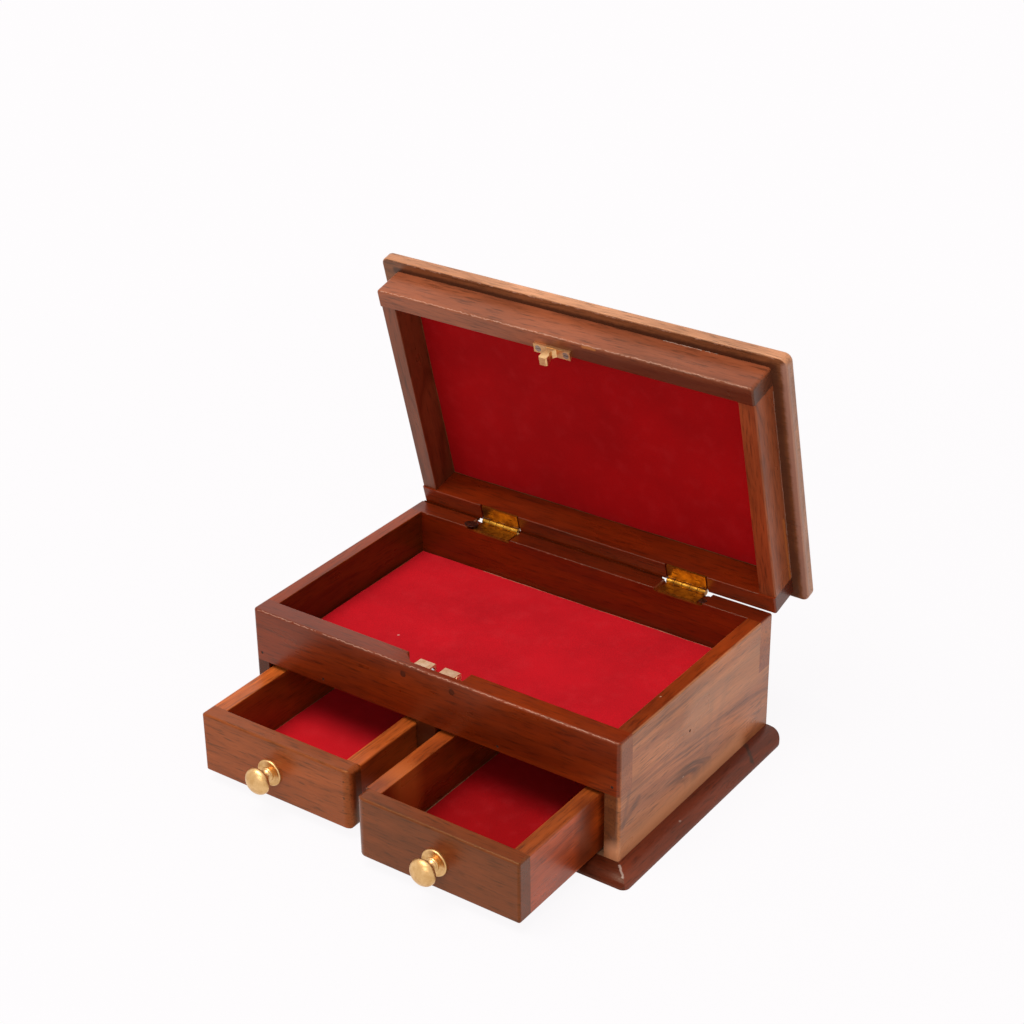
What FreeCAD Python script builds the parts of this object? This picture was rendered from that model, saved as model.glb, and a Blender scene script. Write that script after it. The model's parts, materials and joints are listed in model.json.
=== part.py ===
"""Wooden ring box with a hinged lid, a velvet tray and two drawers side by side under it.

The case is six boards round a tray floor, on a base board edged with a quarter-round moulding.
The lid is a board on a shallow frame, hung on two brass butt hinges and held shut by a double
ball catch. X runs along the front, Y from front to back and Z up. The origin is in the middle
of the case, on the surface that the box stands on. The lid and the drawers are drawn shut and
then opened to the pose in which the box rests.
"""
import FreeCAD, Part
import math
import os

Vector = FreeCAD.Vector

# ---------------------------------------------------------------- case
case_width = 230.0
case_depth = 148.0
base_thickness = 6.0
wall_height = 69.0
side_thickness = 8.5
rail_thickness = 11.5
rail_height = 31.0
divider_thickness = 12.0
divider_shift = -1.8
tray_floor_thickness = 5.5
tray_velvet_thickness = 1.5
velvet_edge_gap = 0.4
case_corner_round = 2.0
case_edge_round = 1.2
hinge_edge_round = 0.4
inner_edge_round = 0.5

# ---------------------------------------------------------------- moulding round the base
moulding_width = 11.5
moulding_front_round = 4.0
moulding_back_round = 8.0

# ---------------------------------------------------------------- drawers
drawer_side_clearance = 0.5
right_drawer_gap_share = 0.22
drawer_top_clearance = 2.7
drawer_bottom_clearance = 0.3
drawer_back_clearance = 0.5
drawer_front_thickness = 9.0
drawer_left_side_thickness = 9.8
drawer_right_side_thickness = 9.0
drawer_back_thickness = 8.0
drawer_bottom_thickness = 4.0
drawer_bottom_rebate = 4.0
drawer_velvet_thickness = 0.9
drawer_edge_round = 1.2
drawer_outer_corner_round = 1.4
drawer_inner_corner_round = 5.0
drawer_inner_end_round = 3.5
left_drawer_pull = 54.0
right_drawer_pull = 67.0

# ---------------------------------------------------------------- knobs
left_knob_shift = -4.0
right_knob_shift = -0.5
knob_drop = 2.0
knob_flange_radius = 7.5
knob_flange_edge = 0.5
knob_flange_thickness = 1.3
knob_dish_depth = 0.45
knob_bead_radius = 3.9
knob_bead_height = 1.8
knob_bead_root_radius = 3.3
knob_neck_radius = 2.6
knob_neck_top = 7.2
knob_head_radius = 7.5
knob_head_plane = 9.5
knob_length = 14.0
knob_screw_radius = 1.5
knob_screw_grip = 6.0
knob_screw_head_radius = 3.2
knob_screw_head_height = 1.8

# ---------------------------------------------------------------- lid
lid_shift = 2.0
lid_frame_height = 18.7
lid_end_member_thickness = 10.5
lid_side_member_thickness = 9.7
lid_side_member_setback = 1.0
lid_board_thickness = 7.0
lid_board_end_overhang = 9.0
lid_board_front_overhang = 7.0
lid_board_back_overhang = 4.0
lid_board_corner_round = 4.5
lid_board_top_round = 2.0
lid_board_bottom_round = 1.0
lid_velvet_thickness = 0.7
lid_gap = 0.4
lid_open_angle = 75.5

# ---------------------------------------------------------------- butt hinges
left_hinge_x = -59.0
right_hinge_x = 63.0
hinge_length = 24.0
hinge_leaf_width = 10.0
hinge_leaf_thickness = 0.9
knuckle_radius = 1.7
knuckle_count = 5
knuckle_gap = 0.3
knuckle_relief = 0.4
hinge_pin_radius = 0.75
hinge_pin_clearance = 0.05
pin_behind_case = 0.05
pin_below_case_top = 0.3
recess_inner_margin = 0.2
recess_outer_margin = 2.7
recess_lid_margin = 1.0
recess_end_round = 1.8
hinge_screw_spacing = 14.0
hinge_screw_line = 6.0
hinge_screw_length = 9.0

# ---------------------------------------------------------------- countersunk screws
screw_head_radius = 1.9
screw_head_depth = 1.1
screw_shank_radius = 0.8
screw_slot_width = 0.5
screw_slot_depth = 0.4

# ---------------------------------------------------------------- double ball catch
catch_line_from_front = 9.0
catch_lip_thickness = 3.6
catch_notch_length = 39.4
catch_notch_depth = 11.0
catch_ear_length = 6.8
catch_ear_width = 5.9
catch_below_top = 2.0
catch_plate_length = 37.0
catch_plate_height = 8.0
catch_plate_thickness = 1.2
catch_body_length = 25.0
catch_body_height = 6.5
catch_body_reach = 7.4
catch_slot_width = 6.2
catch_body_chamfer = 0.6
ball_radius = 2.0
ball_clearance = 0.05
ball_proud = 1.15
ball_below_body_top = 2.8
ball_end_gap = 0.05
set_screw_length = 2.6
set_screw_proud = 0.3
set_screw_slot = 0.6
spring_wire_radius = 0.22
spring_radius = 1.35
spring_turns = 4.0
catch_screw_spacing = 30.6
catch_screw_below_top = 6.2
plug_radius = 1.8
plug_thickness = 1.0

# ---------------------------------------------------------------- strike on the lid
strike_length = 22.3
strike_width = 5.2
strike_thickness = 1.6
strike_screw_spacing = 17.0
strike_screw_length = 9.0
tongue_depth = 4.8
tongue_root_width = 5.8
tongue_waist_width = 2.8
tongue_head_width = 4.8
tongue_tip_width = 3.8
tongue_length = 10.4
tongue_head_length = 3.1
tongue_shoulder_length = 2.0
tongue_tip_length = 0.9
tongue_root_length = 1.8

# ---------------------------------------------------------------- panel pins
pin_head_radius = 0.8
pin_head_height = 0.6
pin_shank_radius = 0.5
pin_length = 17.0
pin_sunk = 0.3
rail_pin_left_x = -69.0
rail_pin_right_x = 43.0
side_pin_y = -8.0

# ---------------------------------------------------------------- places that follow from the sizes
case_left = -case_width / 2
case_right = case_width / 2
case_front = -case_depth / 2
case_back = case_depth / 2
case_top = base_thickness + wall_height
rail_bottom = case_top - rail_height
inner_left = case_left + side_thickness
inner_right = case_right - side_thickness
inner_front = case_front + rail_thickness
inner_back = case_back - rail_thickness
tray_floor_top = rail_bottom + tray_floor_thickness
tray_floor_middle = rail_bottom + tray_floor_thickness / 2

divider_left = divider_shift - divider_thickness / 2
divider_right = divider_shift + divider_thickness / 2
bay_height = rail_bottom - base_thickness
drawer_width = divider_left - inner_left - 2 * drawer_side_clearance
drawer_height = bay_height - drawer_top_clearance - drawer_bottom_clearance
drawer_length = inner_back - case_front - drawer_back_clearance
left_drawer_centre = (inner_left + divider_left) / 2
right_drawer_play = inner_right - divider_right - drawer_width
right_drawer_centre = divider_right + right_drawer_gap_share * right_drawer_play + drawer_width / 2
drawer_base = base_thickness + drawer_bottom_clearance
drawer_top = drawer_base + drawer_height
knob_height = drawer_base + drawer_height / 2 - knob_drop
left_knob_x = left_drawer_centre + left_knob_shift
right_knob_x = right_drawer_centre + right_knob_shift

hinge_axis_y = case_back + pin_behind_case
hinge_axis_z = case_top - pin_below_case_top
case_recess_floor = hinge_axis_z - knuckle_radius
lid_recess_floor = hinge_axis_z + knuckle_radius
lid_rim = case_top + lid_gap
lid_board_bottom = lid_rim + lid_frame_height
lid_left = case_left + lid_shift
lid_right = case_right + lid_shift

catch_y = case_front + catch_line_from_front
catch_lip_back = case_front + catch_lip_thickness
catch_top = case_top - catch_below_top
catch_notch_floor = case_top - catch_notch_depth
catch_screw_z = case_top - catch_screw_below_top
ball_z = catch_top - ball_below_body_top
ball_x = catch_slot_width / 2 - ball_proud + ball_radius


# ---------------------------------------------------------------- basic solids
def block(x_range, y_range, z_range):
    """A box between two values on each axis."""
    size = [high - low for low, high in (x_range, y_range, z_range)]
    return Part.makeBox(*size, Vector(x_range[0], y_range[0], z_range[0]))


def cylinder(radius, start, end):
    """A round bar from one point to another."""
    run = end.sub(start)
    return Part.makeCylinder(radius, run.Length, start, run)


def middle(edge):
    """The point half way along an edge."""
    return edge.valueAt((edge.FirstParameter + edge.LastParameter) / 2)


def edges_at(shape, axis, value):
    """The edges that lie wholly at one value of an axis, 0 for X, 1 for Y and 2 for Z."""
    found = []
    for edge in shape.Edges:
        points = [vertex.Point[axis] for vertex in edge.Vertexes] + [middle(edge)[axis]]
        if all(abs(point - value) < 1e-4 for point in points):
            found.append(edge)
    return found


def upright_edges(shape):
    """The straight edges that run along Z."""
    found = []
    for edge in shape.Edges:
        start, end = edge.Vertexes[0].Point, edge.Vertexes[-1].Point
        if abs(start.x - end.x) + abs(start.y - end.y) < 1e-6:
            found.append(edge)
    return found


def eased_block(x_range, y_range, z_range, corner_round, edge_rounds):
    """A box with its upright corners rounded, and then the edges round its ends.

    edge_rounds pairs a height, at the box's top or bottom, with the radius round it.
    """
    shape = block(x_range, y_range, z_range)
    shape = shape.makeFillet(corner_round, upright_edges(shape))
    for height, radius in edge_rounds:
        shape = shape.makeFillet(radius, edges_at(shape, 2, height))
    return shape


def hinged_block(x_range, z_range, open_height):
    """A box as deep as the case, with its front corners and the edges at one height eased. Its
    back is sawn off square and only just eased, because the hinges are let into that edge."""
    y_range = (case_front, case_back + 2 * case_corner_round)
    rounds = [(open_height, case_edge_round)]
    shape = eased_block(x_range, y_range, z_range, case_corner_round, rounds)
    sawn = shape.cut(block(x_range, (case_back, y_range[1]), z_range))
    closed_height = sum(z_range) - open_height
    back_edges = [edge for edge in edges_at(sawn, 1, case_back)
                  if abs(middle(edge).z - closed_height) > 1e-4]
    return sawn.makeFillet(hinge_edge_round, back_edges)


def hollowed(shape, x_range, y_range, z_range, rim_height):
    """A shape with a square well cut through it, and the well's edges at its rim eased."""
    cut = shape.cut(block(x_range, y_range, z_range))
    rim = []
    for edge in edges_at(cut, 2, rim_height):
        point = middle(edge)
        within_x = x_range[0] - 1e-4 < point.x < x_range[1] + 1e-4
        within_y = y_range[0] - 1e-4 < point.y < y_range[1] + 1e-4
        if within_x and within_y:
            rim.append(edge)
    return cut.makeFillet(inner_edge_round, rim)


def quarter_ellipse(centre, first, second):
    """A quarter of an ellipse about its centre, between the ends of its two half axes."""
    major, minor = first, second
    if first.distanceToPoint(centre) < second.distanceToPoint(centre):
        major, minor = second, first
    arc_of_ellipse = Part.ArcOfEllipse(Part.Ellipse(major, minor, centre), 0, math.pi / 2)
    return arc_of_ellipse.toBSpline().toShape()


def turned(profile_edges):
    """A solid turned about the Z axis from the edges of a half profile in the XZ plane."""
    face = Part.Face(Part.Wire(profile_edges))
    return face.revolve(Vector(0, 0, 0), Vector(0, 0, 1), 360)


def aimed(shape, position, direction):
    """A shape drawn along +Z from the origin, moved to a place and pointed another way."""
    moved = shape.copy()
    rotation = FreeCAD.Rotation(Vector(0, 0, 1), direction)
    moved.Placement = FreeCAD.Placement(position, rotation)
    return moved


def polygon(points, push):
    """A flat outline, given by its corners, pushed along a vector into a solid."""
    return Part.Face(Part.makePolygon(points + points[:1])).extrude(push)


# ---------------------------------------------------------------- fasteners
def countersunk_screw(length):
    """A slotted wood screw that enters along +Z, with the top of its head at the origin."""
    tip = length - 2 * screw_shank_radius
    corners = [
        Vector(0, 0, 0),
        Vector(screw_head_radius, 0, 0),
        Vector(screw_shank_radius, 0, screw_head_depth),
        Vector(screw_shank_radius, 0, tip),
        Vector(0, 0, length),
        Vector(0, 0, 0),
    ]
    return turned(Part.makePolygon(corners).Edges)


def slotted(screw):
    """The screw with a driver slot across its head."""
    half = screw_slot_width / 2
    reach = screw_head_radius + 1
    return screw.cut(block((-reach, reach), (-half, half), (-1, screw_slot_depth)))


def panel_pin():
    """A panel pin that enters along +Z from the wood's face, with its head punched below it."""
    head = cylinder(pin_head_radius, Vector(0, 0, pin_sunk), Vector(0, 0, pin_sunk + pin_head_height))
    shank = cylinder(pin_shank_radius, Vector(0, 0, pin_sunk + pin_head_height), Vector(0, 0, pin_length))
    return head.fuse(shank)


def panel_pin_hole():
    """The pin's own shape, open to the wood's face."""
    mouth = cylinder(pin_head_radius, Vector(0, 0, 0), Vector(0, 0, pin_sunk))
    return panel_pin().fuse(mouth)


def panel_pin_places():
    """Where pins go through the front rail and the side panels, and the way that they point."""
    end_x = case_right - side_thickness / 2
    end_z = tray_floor_top - pin_head_radius
    places = [(Vector(x, case_front, tray_floor_middle), Vector(0, 1, 0))
              for x in (rail_pin_left_x, rail_pin_right_x)]
    places += [(Vector(x, case_front, end_z), Vector(0, 1, 0)) for x in (-end_x, end_x)]
    places.append((Vector(case_left, side_pin_y, tray_floor_middle), Vector(1, 0, 0)))
    places.append((Vector(case_right, side_pin_y, tray_floor_middle), Vector(-1, 0, 0)))
    return places


def catch_screw_places():
    """The catch's two screws go forward through its plate into the lip of the front rail."""
    plate_back = catch_lip_back + catch_plate_thickness
    half = catch_screw_spacing / 2
    return [(Vector(x, plate_back, catch_screw_z), Vector(0, -1, 0)) for x in (-half, half)]


def catch_screw():
    """A short countersunk screw that ends behind the plug in the rail's face."""
    return countersunk_screw(catch_plate_thickness + catch_lip_thickness - plug_thickness)


def strike_screw_places():
    """The strike's two screws go up into the front member of the shut lid."""
    half = strike_screw_spacing / 2
    return [(Vector(x, catch_y, lid_rim - strike_thickness), Vector(0, 0, 1)) for x in (-half, half)]


def hinge_screw_places(leaf_face, direction):
    """Two screws in each hinge leaf, from the leaf's inner face into the wood."""
    places = []
    for hinge_x in (left_hinge_x, right_hinge_x):
        for side in (-1, 1):
            x = hinge_x + side * hinge_screw_spacing / 2
            places.append((Vector(x, hinge_axis_y - hinge_screw_line, leaf_face), direction))
    return places


def case_hinge_screw_places():
    return hinge_screw_places(case_recess_floor + hinge_leaf_thickness, Vector(0, 0, -1))


def lid_hinge_screw_places():
    return hinge_screw_places(lid_recess_floor - hinge_leaf_thickness, Vector(0, 0, 1))


def set_out(shape, places):
    """One node of separate copies of a shape, one at each place."""
    return Part.makeCompound([aimed(shape, point, direction) for point, direction in places])


# ---------------------------------------------------------------- base
def base_board():
    return block((case_left, case_right), (case_front, case_back), (0, base_thickness))


def moulding_blank():
    """The base in plan with the moulding's rounded corners, cut square across the back."""
    x_range = (case_left - moulding_width, case_right + moulding_width)
    y_range = (case_front - moulding_width, case_back)
    shape = block(x_range, y_range, (0, base_thickness))
    front = [edge for edge in upright_edges(shape) if middle(edge).y < 0]
    shape = shape.makeFillet(moulding_front_round, front)
    back = [edge for edge in upright_edges(shape) if abs(middle(edge).y - case_back) < 1e-4]
    return shape.makeFillet(moulding_back_round, back)


def quarter_round(length):
    """A strip along X with a quarter-round face towards -Y, and its back at y = 0."""
    corner = Vector(0, 0, 0)
    foot = Vector(0, -moulding_width, 0)
    crest = Vector(0, 0, base_thickness)
    curve = quarter_ellipse(corner, foot, crest)
    outline = Part.Wire([Part.makeLine(corner, foot), curve, Part.makeLine(crest, corner)])
    return Part.Face(outline).extrude(Vector(length, 0, 0))


def moulding_front():
    """The front strip, mitred to the side strips at both ends."""
    strip = quarter_round(case_width + 2 * moulding_width)
    strip.translate(Vector(case_left - moulding_width, case_front, 0))
    mitre = polygon([
        Vector(case_left, case_front, 0),
        Vector(case_left - moulding_width, case_front - moulding_width, 0),
        Vector(case_right + moulding_width, case_front - moulding_width, 0),
        Vector(case_right, case_front, 0),
    ], Vector(0, 0, base_thickness))
    return strip.common(mitre).common(moulding_blank())


def moulding_side(side):
    """A side strip, mitred at the front and rounded off at the back. side is -1 or 1."""
    strip = quarter_round(case_depth + moulding_width)
    strip.rotate(Vector(0, 0, 0), Vector(0, 0, 1), 90 * side)
    start_y = case_front - moulding_width if side > 0 else case_back
    strip.translate(Vector(side * case_width / 2, start_y, 0))
    inner_x = side * case_width / 2
    outer_x = inner_x + side * moulding_width
    mitre = polygon([
        Vector(inner_x, case_front, 0),
        Vector(outer_x, case_front - moulding_width, 0),
        Vector(outer_x, case_back, 0),
        Vector(inner_x, case_back, 0),
    ], Vector(0, 0, base_thickness))
    return strip.common(mitre).common(moulding_blank())


# ---------------------------------------------------------------- case
def case_envelope():
    """The four walls as one, with their corners and edges eased. Each board is a part of it."""
    shape = hinged_block((case_left, case_right), (base_thickness, case_top), case_top)
    well = (inner_left, inner_right), (inner_front, inner_back), (base_thickness, case_top)
    return hollowed(shape, *well, case_top)


def pinned(shape):
    """A board with the holes of the panel pins that go through it."""
    return shape.cut(set_out(panel_pin_hole(), panel_pin_places()))


def side_panel(envelope, side):
    """A side panel, notched at both top corners for the rails that lap over it. side is -1 or 1."""
    x_range = (case_left, inner_left) if side < 0 else (inner_right, case_right)
    panel = block(x_range, (case_front, case_back), (base_thickness, case_top))
    for y_range in ((case_front, inner_front), (inner_back, case_back)):
        panel = panel.cut(block(x_range, y_range, (rail_bottom, case_top)))
    return pinned(panel.common(envelope))


def catch_notch():
    """The notch in the inner face of the front rail, with a ragged ear left over one end."""
    half = catch_notch_length / 2
    y_range = (catch_lip_back, inner_front)
    pocket = block((-half, half), y_range, (catch_notch_floor, catch_top))
    mouth = polygon([
        Vector(-half + catch_ear_length, catch_lip_back, catch_top),
        Vector(half, catch_lip_back, catch_top),
        Vector(half, inner_front, catch_top),
        Vector(-half, inner_front, catch_top),
        Vector(-half, catch_lip_back + catch_ear_width, catch_top),
    ], Vector(0, 0, catch_below_top))
    return pocket.fuse(mouth)


def rail_plug():
    return cylinder(plug_radius, Vector(0, 0, 0), Vector(0, 0, plug_thickness))


def rail_plug_places():
    """The plugs fill the rail's face in front of the catch's screws."""
    half = catch_screw_spacing / 2
    return [(Vector(x, case_front, catch_screw_z), Vector(0, 1, 0)) for x in (-half, half)]


def front_rail(envelope):
    """The rail over the drawers, notched for the catch."""
    rail = block((case_left, case_right), (case_front, inner_front), (rail_bottom, case_top))
    rail = rail.common(envelope).cut(catch_notch())
    rail = rail.cut(set_out(rail_plug(), rail_plug_places()))
    rail = rail.cut(set_out(catch_screw(), catch_screw_places()))
    return pinned(rail)


def hinge_recess(hinge_x):
    """The tool path of a case hinge recess: a flat floor under the leaf, curving up past its ends."""
    low_margin, high_margin = recess_inner_margin, recess_outer_margin
    if hinge_x < 0:
        low_margin, high_margin = high_margin, low_margin
    start = hinge_x - hinge_length / 2 - low_margin
    end = hinge_x + hinge_length / 2 + high_margin
    y_range = (inner_back, case_back)
    centre_z = case_recess_floor + recess_end_round
    tool = block((start, end), y_range, (case_recess_floor, centre_z))
    tool = tool.fuse(block((start - recess_end_round, end + recess_end_round), y_range,
                           (centre_z, case_top + recess_end_round)))
    for x in (start, end):
        tool = tool.fuse(cylinder(recess_end_round, Vector(x, inner_back, centre_z),
                                  Vector(x, case_back, centre_z)))
    return tool


def knuckle_clearance(hinge_x):
    """Room round a hinge barrel, cut in both woods."""
    half = hinge_length / 2 + recess_lid_margin
    start = Vector(hinge_x - half, hinge_axis_y, hinge_axis_z)
    end = Vector(hinge_x + half, hinge_axis_y, hinge_axis_z)
    return cylinder(knuckle_radius + knuckle_relief, start, end)


def back_rail(envelope):
    """The rail at the back, recessed for the case leaves of both hinges."""
    rail = block((case_left, case_right), (inner_back, case_back), (rail_bottom, case_top))
    rail = rail.common(envelope)
    for hinge_x in (left_hinge_x, right_hinge_x):
        rail = rail.cut(hinge_recess(hinge_x)).cut(knuckle_clearance(hinge_x))
    return rail.cut(set_out(countersunk_screw(hinge_screw_length), case_hinge_screw_places()))


def back_panel():
    """The lower back, between the side panels and under the back rail."""
    return block((inner_left, inner_right), (inner_back, case_back), (base_thickness, rail_bottom))


def centre_divider():
    """The partition between the drawers, flush with the front."""
    return block((divider_left, divider_right), (case_front, inner_back), (base_thickness, rail_bottom))


def tray_floor():
    board = block((inner_left, inner_right), (inner_front, inner_back), (rail_bottom, tray_floor_top))
    return pinned(board)


def tray_lining():
    """Velvet on the tray floor, cut a little short of the walls."""
    return block((inner_left + velvet_edge_gap, inner_right - velvet_edge_gap),
                 (inner_front + velvet_edge_gap, inner_back - velvet_edge_gap),
                 (tray_floor_top, tray_floor_top + tray_velvet_thickness))


# ---------------------------------------------------------------- butt hinges
def knuckle_range(number):
    """Where one knuckle starts and ends along the hinge, measured from the hinge's middle."""
    pitch = (hinge_length + knuckle_gap) / knuckle_count
    start = -hinge_length / 2 + number * pitch
    return start, start + pitch - knuckle_gap


def hinge_leaf(own_first, bore_radius):
    """One leaf about a barrel axis along X through the origin, lying under the axis towards -Y.

    own_first is the number of the first knuckle that the leaf carries. It carries every second
    one after that, and it is cut away round the other leaf's.
    """
    half = hinge_length / 2
    leaf = block((-half, half), (-hinge_leaf_width, 0),
                 (-knuckle_radius, hinge_leaf_thickness - knuckle_radius))
    for number in range(knuckle_count):
        start, end = knuckle_range(number)
        if number % 2 != own_first:
            start, end = max(start - knuckle_gap, -half - 1), min(end + knuckle_gap, half + 1)
            room = knuckle_radius + knuckle_gap
            leaf = leaf.cut(cylinder(room, Vector(start, 0, 0), Vector(end, 0, 0)))
    for number in range(own_first, knuckle_count, 2):
        start, end = knuckle_range(number)
        leaf = leaf.fuse(cylinder(knuckle_radius, Vector(start, 0, 0), Vector(end, 0, 0)))
    bore = cylinder(bore_radius, Vector(-half - 1, 0, 0), Vector(half + 1, 0, 0))
    return leaf.cut(bore).removeSplitter()


def case_leaf(hinge_x):
    """The leaf screwed to the back rail, with the odd knuckles, which grip the pin."""
    leaf = hinge_leaf(0, hinge_pin_radius)
    leaf.translate(Vector(hinge_x, hinge_axis_y, hinge_axis_z))
    return leaf.cut(set_out(countersunk_screw(hinge_screw_length), case_hinge_screw_places()))


def lid_leaf(hinge_x):
    """The leaf screwed to the lid, with the even knuckles, which turn on the pin."""
    leaf = hinge_leaf(1, hinge_pin_radius + hinge_pin_clearance)
    leaf = leaf.mirror(Vector(0, 0, 0), Vector(0, 0, 1))
    leaf.translate(Vector(hinge_x, hinge_axis_y, hinge_axis_z))
    return leaf.cut(set_out(countersunk_screw(hinge_screw_length), lid_hinge_screw_places()))


def hinge_pins():
    half = hinge_length / 2
    pins = []
    for hinge_x in (left_hinge_x, right_hinge_x):
        start = Vector(hinge_x - half, hinge_axis_y, hinge_axis_z)
        end = Vector(hinge_x + half, hinge_axis_y, hinge_axis_z)
        pins.append(cylinder(hinge_pin_radius, start, end))
    return Part.makeCompound(pins)


# ---------------------------------------------------------------- double ball catch
def ball_housing(side):
    """One arm of the catch, bored from its outer end to a round seat that holds the ball in."""
    inner, outer = side * catch_slot_width / 2, side * catch_body_length / 2
    plate_back = catch_lip_back + catch_plate_thickness
    arm = block((min(inner, outer), max(inner, outer)), (plate_back, plate_back + catch_body_reach),
                (catch_top - catch_body_height, catch_top))
    back_edges = [edge for edge in edges_at(arm, 1, plate_back + catch_body_reach)
                  if abs(middle(edge).x - (inner + outer) / 2) < 1e-4]
    arm = arm.makeChamfer(catch_body_chamfer, back_edges)
    bore_radius = ball_radius + ball_clearance
    seat = Vector(side * ball_x, catch_y, ball_z)
    arm = arm.cut(Part.makeSphere(bore_radius, seat))
    return arm.cut(cylinder(bore_radius, seat, Vector(outer + side, catch_y, ball_z)))


def catch_body():
    """The catch's screw plate and its two arms, cast in one."""
    half = catch_plate_length / 2
    plate = block((-half, half), (catch_lip_back, catch_lip_back + catch_plate_thickness),
                  (catch_top - catch_plate_height, catch_top))
    body = plate.fuse([ball_housing(-1), ball_housing(1)]).removeSplitter()
    return body.cut(set_out(catch_screw(), catch_screw_places()))


def catch_ball(side):
    return Part.makeSphere(ball_radius, Vector(side * ball_x, catch_y, ball_z))


def set_screw(side):
    """The slotted grub screw that closes a bore and loads its spring."""
    outer = side * (catch_body_length / 2 + set_screw_proud)
    inner = outer - side * set_screw_length
    radius = ball_radius + ball_clearance
    screw = cylinder(radius, Vector(inner, catch_y, ball_z), Vector(outer, catch_y, ball_z))
    floor = outer - side * set_screw_slot
    half = set_screw_slot / 2
    slot = block((min(floor, outer), max(floor, outer)), (catch_y - radius, catch_y + radius),
                 (ball_z - half, ball_z + half))
    return screw.cut(slot)


def catch_set_screws():
    return Part.makeCompound([set_screw(-1), set_screw(1)])


def catch_spring(side):
    """A coil spring from the back of a ball to its set screw."""
    reach = ball_radius + spring_wire_radius + ball_end_gap
    start = ball_x + math.sqrt(reach ** 2 - spring_radius ** 2)
    end = catch_body_length / 2 + set_screw_proud - set_screw_length
    end -= spring_wire_radius + ball_end_gap
    helix = Part.makeHelix((end - start) / spring_turns, end - start, spring_radius)
    wire_section = Part.Wire(Part.makeCircle(spring_wire_radius, Vector(spring_radius, 0, 0),
                                             Vector(0, 1, 0)))
    coil = Part.Wire(helix.Edges).makePipeShell([wire_section], True, True)
    return aimed(coil, Vector(side * start, catch_y, ball_z), Vector(side, 0, 0))


# ---------------------------------------------------------------- lid, drawn shut
def lid_frame_envelope(rim_height):
    """The lid's frame as one, with its corners and the edges of its rim eased."""
    shape = hinged_block((lid_left, lid_right), (rim_height, lid_board_bottom), rim_height)
    well_x = (lid_left + lid_side_member_thickness, lid_right - lid_side_member_thickness)
    well_y = (case_front + lid_end_member_thickness, case_back - lid_end_member_thickness)
    return hollowed(shape, well_x, well_y, (rim_height, lid_board_bottom), rim_height)


def lid_front_member():
    """The frame's front member, full width, with the strike's screws in its rim."""
    member = block((lid_left, lid_right), (case_front, case_front + lid_end_member_thickness),
                   (lid_rim, lid_board_bottom))
    member = member.common(lid_frame_envelope(lid_rim))
    return member.cut(set_out(countersunk_screw(strike_screw_length), strike_screw_places()))


def lid_back_member():
    """The frame's back member, full width, recessed for the lid leaves of both hinges."""
    y_range = (case_back - lid_end_member_thickness, case_back)
    member = block((lid_left, lid_right), y_range, (lid_rim, lid_board_bottom))
    member = member.common(lid_frame_envelope(lid_rim))
    half = hinge_length / 2 + recess_lid_margin
    for hinge_x in (left_hinge_x, right_hinge_x):
        recess = block((hinge_x - half, hinge_x + half), y_range, (lid_rim, lid_recess_floor))
        member = member.cut(recess).cut(knuckle_clearance(hinge_x))
    return member.cut(set_out(countersunk_screw(hinge_screw_length), lid_hinge_screw_places()))


def lid_side_member(side):
    """A side member between the end members, its rim set a little back. side is -1 or 1."""
    rim = lid_rim + lid_side_member_setback
    outer = lid_shift + side * case_width / 2
    inner = outer - side * lid_side_member_thickness
    member = block((min(outer, inner), max(outer, inner)),
                   (case_front + lid_end_member_thickness, case_back - lid_end_member_thickness),
                   (rim, lid_board_bottom))
    return member.common(lid_frame_envelope(rim))


def lid_board():
    """The top board, which overhangs its frame all round, less at the back."""
    x_range = (lid_left - lid_board_end_overhang, lid_right + lid_board_end_overhang)
    y_range = (case_front - lid_board_front_overhang, case_back + lid_board_back_overhang)
    top = lid_board_bottom + lid_board_thickness
    rounds = [(top, lid_board_top_round), (lid_board_bottom, lid_board_bottom_round)]
    return eased_block(x_range, y_range, (lid_board_bottom, top), lid_board_corner_round, rounds)


def lid_lining():
    """Velvet on the underside of the board, inside the frame."""
    inset_x = lid_side_member_thickness + velvet_edge_gap
    inset_y = lid_end_member_thickness + velvet_edge_gap
    return block((lid_left + inset_x, lid_right - inset_x),
                 (case_front + inset_y, case_back - inset_y),
                 (lid_board_bottom - lid_velvet_thickness, lid_board_bottom))


def strike():
    """A brass plate on the rim, with a tongue whose swollen head snaps past the balls."""
    top = lid_rim - strike_thickness
    half = strike_length / 2
    plate = block((-half, half), (catch_y - strike_width / 2, catch_y + strike_width / 2), (top, lid_rim))
    tip = lid_rim - tongue_length
    shoulder = tip + tongue_head_length
    neck = shoulder + tongue_shoulder_length
    steps = [
        (tongue_root_width / 2, top),
        (tongue_waist_width / 2, top - tongue_root_length),
        (tongue_waist_width / 2, neck),
        (tongue_head_width / 2, shoulder),
        (tongue_head_width / 2, tip + tongue_tip_length),
        (tongue_tip_width / 2, tip),
    ]
    front = catch_y - tongue_depth / 2
    right = [Vector(x, front, z) for x, z in steps]
    left = [Vector(-x, front, z) for x, z in reversed(steps)]
    tongue = polygon(right + left, Vector(0, tongue_depth, 0))
    body = plate.fuse(tongue).removeSplitter()
    return body.cut(set_out(countersunk_screw(strike_screw_length), strike_screw_places()))


def opened(shape):
    """A piece of the shut lid, swung open about the hinges."""
    turned_shape = shape.copy()
    turned_shape.rotate(Vector(0, hinge_axis_y, hinge_axis_z), Vector(-1, 0, 0), lid_open_angle)
    return turned_shape


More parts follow.
